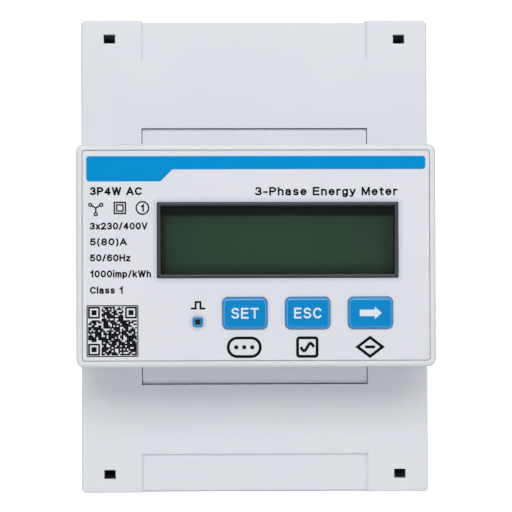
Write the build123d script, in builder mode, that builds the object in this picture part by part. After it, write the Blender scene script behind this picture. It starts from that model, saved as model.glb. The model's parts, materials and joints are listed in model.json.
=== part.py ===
"""Three-phase electricity meter for a 35 mm DIN rail: four modules wide, screw terminals at both ends.

+Z is up, +X is to the right seen from the front and the front faces -Y. The origin is the middle of the
rail seat, where the rail's front face rests. A "front" distance is measured from that seat towards -Y, so
the back of the case is at a negative front distance. All sizes are in millimetres.
"""

from build123d import *

import os

# Overall sizes
body_width = 72.0
body_height = 100.0
back_front = -5.5  # the back of the case, behind the rail seat
shoulder_front = 44.0  # face of the terminal covers
nose_front = 60.0  # face of the nose that stands through the board's cut-out
nose_height = 44.6
split_front = 33.0  # seam between the rear case and everything in front of it
wall = 1.8
gap = 0.15  # between fixed pieces that sit side by side
slip = 0.05  # radial gap of a turning or sliding fit

# Rear case and rail seat
corner_radius = 1.2
back_edge_radius = 0.8
seat_wall = 2.0  # from the rail seat to the inside
back_wall = 1.8
rail_height = 35.0
flange_slot = 1.5  # room behind the seat for the rail's 1 mm flange
hook_bite = 2.2  # how far the fixed hook reaches over the flange
rail_play_top = 0.5
rail_play_bottom = 0.4
rail_wall = 3.0
hook_chamfer = 0.8

# Terminals
terminal_count = 4
terminal_pitch = 15.0
block_inner_z = 27.0
block_back_front = 4.0
block_step = 2.0  # how far the screw field stands above the seam
chamber_wall_front = 3.6  # thickness over the screw heads
chamber_inner_wall = 4.0
entry_wall = 3.5
entry_width = 9.2
entry_depth = 9.0
entry_radius = 2.6
funnel = 0.9
barrier_thickness = 1.2
barrier_height = 3.5
barrier_margin = 1.0  # from a barrier's end to the plate's edge or the auxiliary terminals

# Cage clamps, terminal screws and busbars
bar_width = 7.0
bar_thickness = 2.0
bar_back_front = 16.5
cage_opening_width = 8.0
cage_side = 1.4
cage_length = 10.0
cage_nut = 3.0
cage_foot = 2.0
wire_room = 7.0  # from the busbar to the foot of an open cage
cage_play = 0.1  # each side, in the chamber
cage_corner = 0.8
cage_groove = 0.7
cage_groove_depth = 0.35
cage_groove_z = 2.0
screw_radius = 2.5
screw_head_radius = 3.7
screw_head_height = 3.1
driver_hole_radius = 3.3
slot_width = 1.2
slot_depth = 1.5
cross_arm_width = 1.0
cross_arm_length = 4.4
screw_tip_chamfer = 0.6
screw_head_chamfer = 0.35
head_play = 0.4
dimple_radius = 1.5
dimple_depth = 0.3
bar_corner = 0.8

# Current transformers
transformer_clearance = 1.5  # from a ring to the neighbouring phase's busbar
transformer_rim = 1.0
transformer_bore = 4.0
transformer_length = 9.0
transformer_stagger = 13.0
lead_radius = 0.4
lead_spacing = 4.0

# Auxiliary terminals for the pulse output and the data line
aux_count = 4
aux_pitch = 5.0
aux_width = 22.0
aux_length = 7.8
aux_front = 41.8
aux_screw_radius = 1.0
aux_head_radius = 1.5
aux_head_height = 1.6
aux_hole_radius = 1.75
aux_recess = 1.2
aux_entry = 3.0
aux_pin = 0.8
aux_pin_front = 38.6
aux_pin_inset = 2.0
aux_floor = 2.0
aux_entry_floor = 0.8
aux_edge = 0.4
aux_slot_width = 0.6
aux_slot_depth = 0.7
aux_head_chamfer = 0.2

# Front case
ledge_width = 46.6
ledge_z = 26.45
ledge_drop = 0.25  # how far the ledge lies below the covers' face
ledge_chamfer = 1.1
nose_corner_radius = 1.5
nose_edge_radius = 0.9
rim_width = 1.2
label_recess = 0.6
label_thickness = 0.5
label_corner = 0.5
front_wall = 2.0

# Terminal covers
cover_wall = 1.6
cover_draft = 1.0  # how much lower the face is than the rim, at the far end
cover_edge_radius = 0.6
cover_corner_radius = 0.9
cover_rib_x = 15.0
cover_rib_thickness = 1.2
cover_rib_depth = 0.8
notch_width = 46.9
notch_z = 26.65
pocket_width = 47.0
pocket_z = 41.0
pocket_depth = 0.45
seal_hole_x = 30.1
seal_hole_z = 45.2
seal_hole_width = 2.4
seal_hole_height = 1.9
arm_width = 2.2
arm_thickness = 1.3
arm_end_front = 27.0
arm_barb = 0.4
arm_room = 0.5
arm_side_room = 0.2

# Display
display_x = 4.3
display_z = 3.05
bezel_width = 48.2
bezel_height = 15.1
bezel_rim = 0.65
bezel_flange = 1.2
bezel_corner = 0.3
window_drop = 0.5
window_thickness = 1.0
glass_front = 55.4
glass_thickness = 2.2
glass_width = 50.0
glass_height = 17.0
glass_step = 2.4  # how much taller the rear pane is, for its contacts
strip_inset = 2.0
light_inset = 3.0
light_gap = 0.5
holder_wall = 1.05
strip_height = 2.0

# Buttons and pulse lamp
button_xs = {"set": -2.3, "esc": 10.25, "next": 22.8}
button_z = -11.55
button_width = 8.95
button_height = 6.4
button_radius = 1.1
button_proud = 0.7
button_clearance = 0.08
button_flange = 0.8
button_flange_thickness = 1.0
button_dome = 0.35
button_travel = 0.5
plunger_radius = 1.7
switch_size = 6.0
switch_height = 3.4
switch_rise = 0.8  # how far a plunger stands out of its switch
switch_chamfer = 0.3
well_room = 0.2
plunger_root = 0.4
plunger_chamfer = 0.2
stem_wall = 0.6
lamp_x = -11.7
lamp_z = -13.3
lamp_ring = 2.0
lamp_radius = 0.55
lamp_bore = 1.0
lamp_bore_radius = 0.15
lamp_flange = 0.6
lamp_flange_radius = 0.8
lamp_recess = 0.2
lamp_back_gap = 0.2
led_width = 2.0
led_height = 1.25
led_thickness = 0.8

# Boards and case screws
board_thickness = 1.6
display_board_front = 48.0
display_board_width = 66.0
display_board_height = 39.0
display_post_x = 30.8
display_post_z = 17.6
display_post_radius = 2.2
main_board_front = 31.0
main_board_width = 66.0
main_board_height = 39.6
main_post_radius = 2.0
main_posts = [(-31.0, -16.6), (-31.0, 2.4), (31.0, -16.6), (31.0, 16.6)]
small_screw_radius = 1.0
small_head_radius = 1.8
small_head_height = 1.5
board_screw_length = 8.0
post_hole_depth = 7.0
board_corner = 0.8
cross_length = 2.2
cross_width = 0.5
case_screw_x = 31.0
case_screw_z = 24.65
case_post_radius = 2.15
case_screw_radius = 1.2
case_head_radius = 2.1
case_head_height = 1.8
case_screw_length = 12.0

can_places = [(-24.0, -11.0), (-12.0, -11.0)]
can_radius = 5.0
can_height = 11.0
can_edge = 0.6
film_capacitor = (3.0, -11.5, 15.0, 8.0, 11.5)  # x, z, width, height and depth
varistor_xs = [-22.0, -14.5, -7.0]
varistor_z = 3.0
varistor_radius = 5.0
varistor_thickness = 3.2
chips = [(8.0, 2.0, 10.0, 10.0), (22.0, 2.0, 7.0, 9.0), (22.0, -12.0, 5.0, 6.2)]  # x, z, width and height
chip_thickness = 1.4
chip_corner = 0.3
header_x = 0.0
header_z = 13.77
header_pitch = 2.54
header_count = 8
header_pin = 0.64
header_thickness = 2.5
header_width = 21.0
header_height = 5.4

# Rail clip and its spring
clip_width = 14.0
clip_wing = 2.5
clip_wing_thickness = 2.0
clip_thickness = 4.1
guide_depth = 4.3
clip_play = 0.2
clip_bite = 2.2
clip_nose_wall = 1.6
clip_ramp = 1.6
clip_stop = 1.5  # how far below the rail channel the clip's wings stop
clip_tab = 2.4
tab_slot_width = 6.0
window_top_z = -27.0
window_bottom_z = -47.0
spring_stop_z = -40.0
spring_stop_thickness = 1.6
stop_side_gap = 0.4
stop_back_gap = 0.3
spring_wire = 0.35
spring_clearance = 0.25  # behind and before the coil, inside the clip's thickness
spring_side_room = 0.8
spring_turns = 7

# Sizes that follow from the ones above
inner_width = body_width - 2 * wall
half_width = body_width / 2
half_height = body_height / 2
seat_front = seat_wall
half_rail = rail_height / 2
slot_top_z = half_rail + rail_play_top
lip_z = half_rail - hook_bite
channel_bottom_z = -half_rail - rail_play_bottom
guide_floor = -(flange_slot - clip_play - 0.1)
wing_stop_z = channel_bottom_z - clip_stop
block_width = inner_width - 2 * gap
block_front = split_front + block_step
cover_inner_half = half_width - cover_wall
cover_rim_front = split_front + gap
terminal_xs = [(i - (terminal_count - 1) / 2) * terminal_pitch for i in range(terminal_count)]
chamber_width = cage_opening_width + 2 * (cage_side + 2 * cage_play)
chamber_outer_z = half_height - entry_wall
chamber_inner_z = block_inner_z + chamber_inner_wall
chamber_front = block_front - chamber_wall_front
screw_z = (chamber_inner_z + chamber_outer_z) / 2
plate_outer_z = half_height - wall - cover_draft
bar_front = bar_back_front + bar_thickness
entry_front = bar_back_front - wire_room / 2
cage_back_front = bar_back_front - wire_room - cage_foot
cage_nut_front = bar_front + 0.5
cage_front = cage_nut_front + cage_nut
head_front = chamber_front - head_play
head_back_front = head_front - screw_head_height
label_front = nose_front - 0.1
label_back_front = label_front - label_thickness
recess_front = nose_front - label_recess
front_wall_back = recess_front - front_wall
face_front = shoulder_front - cover_wall
ledge_front = shoulder_front - ledge_drop
label_width = body_width - 2 * rim_width
label_height = nose_height - 2 * rim_width
glass_back_front = glass_front - glass_thickness
display_board_face = display_board_front + board_thickness
main_board_face = main_board_front + board_thickness
switch_front = display_board_face + switch_height
plunger_front = switch_front + switch_rise
button_front = nose_front + button_proud
flange_front = front_wall_back - gap
aux_outer_z = block_inner_z + aux_length
aux_xs = [(i - (aux_count - 1) / 2) * aux_pitch for i in range(aux_count)]
aux_screw_z = block_inner_z + aux_length / 2
transformer_radius = terminal_pitch - bar_width / 2 - transformer_clearance
spring_radius = clip_thickness / 2 - spring_wire - spring_clearance
window_half = spring_radius + spring_wire + spring_side_room


def front(distance):
    """The plane that faces the user, that far in front of the rail seat."""
    return Plane.XZ.offset(distance)


def slab(x, z, span, radius=0.0, mode=Mode.ADD):
    """A box with corners at x[0], x[1] and z[0], z[1], over span[0] to span[1] in front of the rail seat."""
    width, height = x[1] - x[0], z[1] - z[0]
    with BuildSketch(front(span[0])) as outline:
        with Locations(((x[0] + x[1]) / 2, (z[0] + z[1]) / 2)):
            if radius:
                RectangleRounded(width, height, radius)
            else:
                Rectangle(width, height)
    extrude(outline.sketch, amount=span[1] - span[0], mode=mode)


def centred(x, z, width, height, span, radius=0.0, mode=Mode.ADD):
    """A box given by its middle and size in the front view."""
    slab((x - width / 2, x + width / 2), (z - height / 2, z + height / 2), span, radius, mode)


def rods(places, radius, span, mode=Mode.ADD):
    """Round bars or holes that run from back to front at each (x, z) place."""
    with BuildSketch(front(span[0])) as circles:
        with Locations(*places):
            Circle(radius)
    extrude(circles.sketch, amount=span[1] - span[0], mode=mode)


def side_profile(points, half, mode=Mode.ADD, middle=0.0):
    """A prism across X from (front distance, z) points, half wide each way from its middle."""
    with BuildSketch(Plane.YZ.offset(middle)) as profile:
        with BuildLine():
            Polyline(*[(-distance, z) for distance, z in points], close=True)
        make_face()
    extrude(profile.sketch, amount=half, both=True, mode=mode)


def four_ways(x, z):
    return [(x, z), (-x, z), (x, -z), (-x, -z)]


display_posts = four_ways(display_post_x, display_post_z)
case_screw_places = four_ways(case_screw_x, case_screw_z)


def mirrored(piece):
    """The same piece in the lower row."""
    with BuildPart() as copy:
        mirror(piece.part, about=Plane.XY)
    return copy


def save(piece, name):
    piece.part.label = name
    export_step(piece.part, f"parts/{name}.step")


# Casing


def make_rear_case():
    with BuildPart() as case:
        slab((-half_width, half_width), (-half_height, half_height), (back_front, split_front), corner_radius)
        fillet(case.faces().sort_by(Axis.Y)[-1].edges(), back_edge_radius)
        # The inside: a plain box in front of the seat, open at both ends where the terminal blocks show.
        inside_z = half_height - wall
        half_inside = inner_width / 2
        inside_span = (seat_front, split_front)
        slab((-half_inside, half_inside), (-inside_z, inside_z), inside_span, mode=Mode.SUBTRACT)
        beyond = half_height + 1
        block_span = (block_back_front, split_front)
        slab((-half_inside, half_inside), (-beyond, beyond), block_span, mode=Mode.SUBTRACT)
        # Deeper pockets beside and above the rail seat keep the back wall even.
        deep = (back_front + back_wall, seat_front)
        upper_z = slot_top_z + rail_wall
        slab((-half_inside, half_inside), (upper_z, inside_z), deep, mode=Mode.SUBTRACT)
        lower_z = channel_bottom_z - rail_wall
        guide_side = clip_width / 2 + clip_wing + clip_play + wall
        for side in (-1, 1):
            span = sorted((side * guide_side, side * half_inside))
            slab(span, (-inside_z, lower_z), deep, mode=Mode.SUBTRACT)
        # The rail channel, with the slot under the fixed hook along its top.
        side_profile(
            [
                (0, channel_bottom_z),
                (0, slot_top_z),
                (-flange_slot, slot_top_z),
                (-flange_slot, lip_z),
                (back_front + hook_chamfer, lip_z),
                (back_front - 1, lip_z + hook_chamfer + 1),
                (back_front - 1, channel_bottom_z),
            ],
            half_width + 1,
            mode=Mode.SUBTRACT,
        )
        # The T-shaped guide of the rail clip, open at the bottom end.
        wing_end = guide_floor - clip_wing_thickness - clip_play
        narrow = clip_width / 2 + clip_play
        wide = narrow + clip_wing
        guide_end = -half_height - 1
        slab((-wide, wide), (guide_end, wing_stop_z), (wing_end, guide_floor), mode=Mode.SUBTRACT)
        narrow_span = (back_front - 1, guide_floor)
        slab((-narrow, narrow), (guide_end, channel_bottom_z + 1), narrow_span, mode=Mode.SUBTRACT)
        stop_z = (spring_stop_z - spring_stop_thickness, spring_stop_z)
        half_stop = window_half - stop_side_gap
        slab((-half_stop, half_stop), stop_z, (guide_floor - clip_thickness + stop_back_gap, guide_floor))
        # Posts for the case screws and for the main board.
        rods(case_screw_places, case_post_radius, (back_front + back_wall / 2, split_front))
        case_hole = (split_front - case_screw_length, split_front)
        rods(case_screw_places, case_screw_radius + slip, case_hole, Mode.SUBTRACT)
        board_seat = main_board_front - gap
        rods(main_posts, main_post_radius, (seat_front, board_seat))
        rods(main_posts, small_screw_radius + slip, (board_seat - post_hole_depth, board_seat), Mode.SUBTRACT)
    return case


def make_front_case():
    flange_half = inner_width / 2 - gap
    flange_z = block_inner_z - gap
    with BuildPart() as case:
        slab(
            (-half_width, half_width),
            (-nose_height / 2, nose_height / 2),
            (split_front, nose_front),
            nose_corner_radius,
        )
        fillet(case.faces().sort_by(Axis.Y)[0].edges(), nose_edge_radius)
        slab((-flange_half, flange_half), (-flange_z, flange_z), (split_front, block_front))
        half_ledge = ledge_width / 2
        side_profile(
            [
                (block_front, -ledge_z),
                (ledge_front - ledge_chamfer / 2, -ledge_z),
                (ledge_front, -ledge_z + ledge_chamfer),
                (ledge_front, ledge_z - ledge_chamfer),
                (ledge_front - ledge_chamfer / 2, ledge_z),
                (block_front, ledge_z),
            ],
            half_ledge,
        )
        # Inside, open to the back.
        nose_inner_z = nose_height / 2 - wall
        inner_half = half_width - wall
        nose_inside = (split_front, front_wall_back)
        slab((-inner_half, inner_half), (-nose_inner_z, nose_inner_z), nose_inside, mode=Mode.SUBTRACT)
        ledge_inner = half_ledge - wall
        ledge_inner_z = ledge_z - wall
        ledge_span = (split_front, ledge_front - wall)
        slab((-ledge_inner, ledge_inner), (-ledge_inner_z, ledge_inner_z), ledge_span, mode=Mode.SUBTRACT)
        # Posts that carry the display board, then everything that passes through the front.
        post_back = display_board_face + gap
        rods(display_posts, display_post_radius, (post_back, front_wall_back + 0.5))
        post_hole = (post_back, front_wall_back - 0.5)
        rods(display_posts, small_screw_radius + slip, post_hole, Mode.SUBTRACT)
        recess_span = (recess_front, nose_front + 1)
        centred(0, 0, label_width, label_height, recess_span, label_corner + gap, Mode.SUBTRACT)
        through = (front_wall_back - 1, nose_front + 1)
        width, height = bezel_width + 2 * gap, bezel_height + 2 * gap
        centred(display_x, display_z, width, height, through, bezel_corner + gap, Mode.SUBTRACT)
        for x in button_xs.values():
            width = button_width + 2 * button_clearance
            height = button_height + 2 * button_clearance
            centred(x, button_z, width, height, through, button_radius + button_clearance, Mode.SUBTRACT)
        hole = lamp_ring + 2 * slip
        centred(lamp_x, lamp_z, hole, hole, through, lamp_radius + slip, Mode.SUBTRACT)
        rods(case_screw_places, case_screw_radius + gap, (split_front - 1, block_front + 1), Mode.SUBTRACT)
        # Slots for the pins of the auxiliary terminals.
        pin_hole = aux_pin + 2 * gap
        for x in aux_xs:
            pin_z = (ledge_inner_z - 1, ledge_z + 1)
            pin_span = (aux_pin_front - pin_hole / 2, aux_pin_front + pin_hole / 2)
            slab((x - pin_hole / 2, x + pin_hole / 2), pin_z, pin_span, mode=Mode.SUBTRACT)
    return case


def cut_arm_sockets():
    """Sockets for the snap arms of the terminal cover, under the holes in its face."""
    top_z = seal_hole_z + seal_hole_height / 2
    bottom_z = seal_hole_z - seal_hole_height / 2 - arm_thickness - arm_room
    for side in (-1, 1):
        middle = side * seal_hole_x
        socket = (middle - arm_width / 2 - arm_side_room, middle + arm_width / 2 + arm_side_room)
        slab(socket, (bottom_z, top_z), (arm_end_front - 1, block_front + 1), mode=Mode.SUBTRACT)


def make_terminal_block():
    """The upper block, in its place, open to the front over its chambers."""
    with BuildPart() as block:
        half = block_width / 2
        slab((-half, half), (block_inner_z, half_height), (block_back_front + gap, chamber_front))
        slab((-half, half), (plate_outer_z + gap, half_height), (chamber_front, split_front))
        behind = block_back_front - 1
        for x in terminal_xs:
            chamber = (x - chamber_width / 2, x + chamber_width / 2)
            chamber_span = (behind, chamber_front + 1)
            slab(chamber, (chamber_inner_z, chamber_outer_z), chamber_span, mode=Mode.SUBTRACT)
            bar_slot = (x - bar_width / 2 - gap, x + bar_width / 2 + gap)
            slot_z = (block_inner_z - 1, chamber_inner_z + 1)
            slab(bar_slot, slot_z, (behind, bar_front + gap), mode=Mode.SUBTRACT)
            # Wire entry, with a lead-in all round its mouth.
            with BuildSketch(Plane.XY.offset(chamber_outer_z - 1)):
                with Locations((x, -entry_front)):
                    RectangleRounded(entry_width, entry_depth, entry_radius)
            extrude(amount=entry_wall + 2, mode=Mode.SUBTRACT)
            with BuildSketch(Plane.XY.offset(half_height - funnel)):
                with Locations((x, -entry_front)):
                    RectangleRounded(entry_width, entry_depth, entry_radius)
            with BuildSketch(Plane.XY.offset(half_height)):
                with Locations((x, -entry_front)):
                    mouth_width, mouth_depth = entry_width + 2 * funnel, entry_depth + 2 * funnel
                    RectangleRounded(mouth_width, mouth_depth, entry_radius + funnel)
            loft(mode=Mode.SUBTRACT)
        cut_arm_sockets()
    return block


def make_terminal_plate(barrier_start):
    """The upper row's plate, which keeps the screws in their chambers, with barriers between the screws."""
    with BuildPart() as plate:
        half = block_width / 2
        slab((-half, half), (block_inner_z, plate_outer_z), (chamber_front, block_front))
        places = [(x, screw_z) for x in terminal_xs]
        rods(places, driver_hole_radius, (chamber_front - 1, block_front + 1), Mode.SUBTRACT)
        for left, right in zip(terminal_xs, terminal_xs[1:]):
            middle = (left + right) / 2
            barrier = (middle - barrier_thickness / 2, middle + barrier_thickness / 2)
            barrier_z = (barrier_start, plate_outer_z - barrier_margin)
            slab(barrier, barrier_z, (block_front, block_front + barrier_height))
        cut_arm_sockets()
    return plate


def make_terminal_cover():
    """The upper cover, in its place. The lower one is its mirror image."""
    inner_z = nose_height / 2 + gap
    face_z = half_height - cover_draft
    slope = cover_draft / (shoulder_front - split_front)
    rim_z = face_z + slope * (shoulder_front - cover_rim_front)
    with BuildPart() as cover:
        side_profile(
            [
                (cover_rim_front, inner_z),
                (shoulder_front, inner_z),
                (shoulder_front, face_z),
                (cover_rim_front, rim_z),
            ],
            half_width,
        )
        far_end = cover.edges().filter_by_position(Axis.Z, face_z - 0.1, rim_z + 0.1)
        far_corners = far_end.filter_by(lambda edge: abs(edge.center().X) > half_width - 0.1)
        fillet(far_corners, cover_corner_radius)
        outer_edges = cover.faces().sort_by(Axis.Y)[0].edges()
        fillet(outer_edges.filter_by(lambda edge: edge.center().Z > inner_z + 0.1), cover_edge_radius)
        # Shallow pocket over the middle of the far edge, on the face and on the end.
        side_profile(
            [
                (shoulder_front + 1, pocket_z),
                (shoulder_front + 1, rim_z + 1),
                (cover_rim_front - 1, rim_z + 1),
                (cover_rim_front - 1, rim_z + slope - pocket_depth),
                (shoulder_front - pocket_depth, face_z + slope * pocket_depth - pocket_depth),
                (shoulder_front - pocket_depth, pocket_z),
            ],
            pocket_width / 2,
            mode=Mode.SUBTRACT,
        )
        side_profile(
            [
                (cover_rim_front - 1, inner_z - 1),
                (face_front, inner_z - 1),
                (face_front, face_z - cover_wall),
                (cover_rim_front - 1, rim_z + slope - cover_wall),
            ],
            cover_inner_half,
            mode=Mode.SUBTRACT,
        )
        # Notch round the ledge of the front case.
        notch = (-notch_width / 2, notch_width / 2)
        slab(notch, (inner_z - 1, notch_z), (cover_rim_front - 1, shoulder_front + 1), mode=Mode.SUBTRACT)
        # Square holes over the snap arms, then the arms themselves.
        hole_span = (face_front - 1, shoulder_front + 1)
        arm_top = seal_hole_z - seal_hole_height / 2 - 0.2
        for side in (-1, 1):
            middle = side * seal_hole_x
            centred(middle, seal_hole_z, seal_hole_width, seal_hole_height, hole_span, mode=Mode.SUBTRACT)
            side_profile(
                [
                    (face_front + 0.1, arm_top - arm_thickness),
                    (face_front + 0.1, arm_top),
                    (arm_end_front + 2.2, arm_top),
                    (arm_end_front + 1.8, arm_top + arm_barb),
                    (arm_end_front + 1.2, arm_top + arm_barb),
                    (arm_end_front, arm_top - 0.2),
                    (arm_end_front, arm_top - arm_thickness),
                ],
                arm_width / 2,
                middle=middle,
            )
        # Stiffening ribs on the inside of the face.
        for x in (-cover_rib_x, cover_rib_x):
            rib = (x - cover_rib_thickness / 2, x + cover_rib_thickness / 2)
            slab(rib, (notch_z + 3, pocket_z - 1), (face_front - cover_rib_depth, face_front + 0.1))
    return cover


# Current path


def make_cage(x):
    """An open cage clamp of the upper row."""
    with BuildPart() as cage:
        half = cage_opening_width / 2 + cage_side
        z = (screw_z - cage_length / 2, screw_z + cage_length / 2)
        slab((x - half, x + half), z, (cage_back_front, cage_front))
        fillet(cage.edges().filter_by(Axis.Z), cage_corner)
        opening = (x - cage_opening_width / 2, x + cage_opening_width / 2)
        foot_front = cage_back_front + cage_foot
        slab(opening, (z[0] - 1, z[1] + 1), (foot_front, cage_nut_front), mode=Mode.SUBTRACT)
        rods([(x, screw_z)], screw_radius + slip, (cage_nut_front - 1, cage_front + 1), Mode.SUBTRACT)
        # Two grooves across the foot keep a stranded wire from creeping out.
        groove_span = (foot_front - cage_groove_depth, foot_front + 1)
        for side in (-1, 1):
            middle = screw_z + side * cage_groove_z
            groove = (middle - cage_groove / 2, middle + cage_groove / 2)
            slab(opening, groove, groove_span, mode=Mode.SUBTRACT)
    return cage


def make_terminal_screw(x):
    """An upper terminal screw, its tip on the busbar, with a slot and a short cross arm in its head."""
    with BuildPart() as screw:
        rods([(x, screw_z)], screw_radius, (bar_front + slip, head_back_front))
        chamfer(screw.faces().sort_by(Axis.Y)[-1].edges(), screw_tip_chamfer)
        rods([(x, screw_z)], screw_head_radius, (head_back_front, head_front))
        chamfer(screw.faces().sort_by(Axis.Y)[0].edges(), screw_head_chamfer)
        recess = (head_front - slot_depth, head_front + 1)
        centred(x, screw_z, 2 * screw_head_radius + 1, slot_width, recess, mode=Mode.SUBTRACT)
        centred(x, screw_z, cross_arm_width, cross_arm_length, recess, mode=Mode.SUBTRACT)
    return screw


def make_busbar(x):
    end_z = screw_z + cage_length / 2
    with BuildPart() as bar:
        slab((x - bar_width / 2, x + bar_width / 2), (-end_z, end_z), (bar_back_front, bar_front))
        fillet(bar.edges().filter_by(Axis.Y), bar_corner)
        # A shallow dimple under each terminal screw keeps its tip in the middle.
        dimple_span = (bar_front - dimple_depth, bar_front + 1)
        rods([(x, screw_z), (x, -screw_z)], dimple_radius, dimple_span, Mode.SUBTRACT)
    return bar


def make_transformer(x, z):
    """A potted ring core with two leads up to the main board."""
    middle = bar_back_front + bar_thickness / 2
    with BuildPart() as ring:
        with BuildSketch(Plane.XY.offset(z - transformer_length / 2)):
            with Locations((x, -middle)):
                Circle(transformer_radius)
                Circle(transformer_bore, mode=Mode.SUBTRACT)
        extrude(amount=transformer_length)
        outer_rims = ring.edges().filter_by(GeomType.CIRCLE).sort_by(SortBy.RADIUS)[-2:]
        fillet(outer_rims, transformer_rim)
        lead_start = middle + transformer_radius - 1
        leads = [(x - lead_spacing / 2, z), (x + lead_spacing / 2, z)]
        rods(leads, lead_radius, (lead_start, main_board_front - gap))
    return ring


# Auxiliary terminals


def make_aux_block():
    x_span = (-aux_width / 2, aux_width / 2)
    back = block_front + gap
    with BuildPart() as block:
        slab(x_span, (block_inner_z, aux_outer_z), (back, aux_front))
        chamfer(block.faces().sort_by(Axis.Y)[0].edges().filter_by(Axis.X), aux_edge)
        places = [(x, aux_screw_z) for x in aux_xs]
        rods(places, aux_hole_radius, (back + aux_floor, aux_front + 1), Mode.SUBTRACT)
        for x in aux_xs:
            entry = (x - aux_entry / 2, x + aux_entry / 2)
            entry_span = (back + aux_entry_floor, back + aux_entry_floor + aux_entry)
            slab(entry, (aux_screw_z - aux_hole_radius, aux_outer_z + 1), entry_span, mode=Mode.SUBTRACT)
            pin_half = aux_pin / 2
            pin_span = (aux_pin_front - pin_half, aux_pin_front + pin_half)
            pin_z = (block_inner_z - 1, block_inner_z + 1)
            slab((x - pin_half, x + pin_half), pin_z, pin_span, mode=Mode.SUBTRACT)
    return block


def make_aux_screw(x):
    head = aux_front - aux_recess
    with BuildPart() as screw:
        rods([(x, aux_screw_z)], aux_screw_radius, (block_front + gap + aux_floor + head_play, head))
        rods([(x, aux_screw_z)], aux_head_radius, (head - aux_head_height, head))
        chamfer(screw.faces().sort_by(Axis.Y)[0].edges(), aux_head_chamfer)
        slot_span = (head - aux_slot_depth, head + 1)
        centred(x, aux_screw_z, 2 * aux_head_radius + 1, aux_slot_width, slot_span, mode=Mode.SUBTRACT)
    return screw


# Front: label, display, buttons, lamp


def make_faceplate():
    with BuildPart() as plate:
        span = (label_back_front, label_front)
        centred(0, 0, label_width - 2 * gap, label_height - 2 * gap, span, label_corner)
        through = (label_back_front - 1, label_front + 1)
        width, height = bezel_width + gap, bezel_height + gap
        centred(display_x, display_z, width, height, through, bezel_corner + gap / 2, Mode.SUBTRACT)
        for x in button_xs.values():
            width = button_width + 2 * button_clearance
            height = button_height + 2 * button_clearance
            centred(x, button_z, width, height, through, button_radius + button_clearance, Mode.SUBTRACT)
        hole = lamp_ring + 2 * slip
        centred(lamp_x, lamp_z, hole, hole, through, lamp_radius + slip, Mode.SUBTRACT)
    return plate


def make_display_bezel():
    back = glass_front + gap
    with BuildPart() as bezel:
        centred(display_x, display_z, bezel_width, bezel_height, (back, nose_front), bezel_corner)
        flange = 2 * bezel_flange
        width, height = bezel_width + flange, bezel_height + flange
        centred(display_x, display_z, width, height, (back, flange_front), bezel_corner)
        opening_width, opening_height = bezel_width - 2 * bezel_rim, bezel_height - 2 * bezel_rim
        through = (back - 1, nose_front + 1)
        centred(display_x, display_z, opening_width, opening_height, through, mode=Mode.SUBTRACT)
    return bezel


def make_display_window():
    top = nose_front - window_drop
    width = bezel_width - 2 * (bezel_rim + slip)
    height = bezel_height - 2 * (bezel_rim + slip)
    with BuildPart() as window:
        centred(display_x, display_z, width, height, (top - window_thickness, top))
    return window


def make_lcd_glass():
    with BuildPart() as glass:
        rear = glass_back_front + glass_thickness / 2
        centred(display_x, display_z, glass_width, glass_height, (glass_back_front, rear))
        centred(display_x, display_z, glass_width, glass_height - glass_step, (rear, glass_front))
    return glass


def make_contact_strips():
    """Two elastomer strips that carry the signals from the board to the glass."""
    offset_z = glass_height / 2 - strip_height / 2
    with BuildPart() as strips:
        for side in (-1, 1):
            z = display_z + side * offset_z
            strip_span = (display_board_face, glass_back_front)
            centred(display_x, z, glass_width - 2 * strip_inset, strip_height, strip_span)
    return strips


def make_backlight():
    width = glass_width - 2 * light_inset
    height = glass_height - 2 * (strip_height + light_gap)
    with BuildPart() as light:
        centred(display_x, display_z, width, height, (display_board_face, glass_back_front - gap), light_gap)
    return light


def make_display_holder():
    """The frame that keeps the glass, its contact strips and the backlight together on the board."""
    width, height = glass_width + 2 * gap, glass_height + 2 * gap
    span = (display_board_face, glass_front - gap)
    with BuildPart() as holder:
        centred(display_x, display_z, width + 2 * holder_wall, height + 2 * holder_wall, span, bezel_corner)
        centred(display_x, display_z, width, height, (span[0] - 1, span[1] + 1), mode=Mode.SUBTRACT)
    return holder


def make_button(x):
    """A key cap with a domed face, a flange that keeps it in the case and a stem down to its switch."""
    with BuildPart() as button:
        cap_span = (flange_front - button_flange_thickness / 2, button_front)
        centred(x, button_z, button_width, button_height, cap_span, button_radius)
        fillet(button.faces().sort_by(Axis.Y)[0].edges(), button_dome)
        flange = 2 * button_flange
        flange_span = (flange_front - button_flange_thickness, flange_front)
        centred(x, button_z, button_width + flange, button_height + flange, flange_span, button_radius)
        rods([(x, button_z)], plunger_radius + stem_wall, (plunger_front, flange_front))
    return button


def make_plunger(x):
    with BuildPart() as plunger:
        rods([(x, button_z)], plunger_radius, (switch_front - plunger_root, plunger_front))
        chamfer(plunger.faces().sort_by(Axis.Y)[0].edges(), plunger_chamfer)
    return plunger


def make_display_board_parts():
    """What is soldered to the display board: three switches with wells for their plungers, and a lamp."""
    places = [(x, button_z) for x in button_xs.values()]
    well_floor = switch_front - plunger_root - button_travel - well_room
    with BuildPart() as parts:
        for x, z in places:
            centred(x, z, switch_size, switch_size, (display_board_face, switch_front))
        chamfer(parts.faces().sort_by(Axis.Y)[0].edges().filter_by(Axis.X), switch_chamfer)
        rods(places, plunger_radius + slip, (well_floor, switch_front + 1), Mode.SUBTRACT)
        led_span = (display_board_face, display_board_face + led_thickness)
        centred(lamp_x, lamp_z, led_width, led_height, led_span)
    return parts


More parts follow.
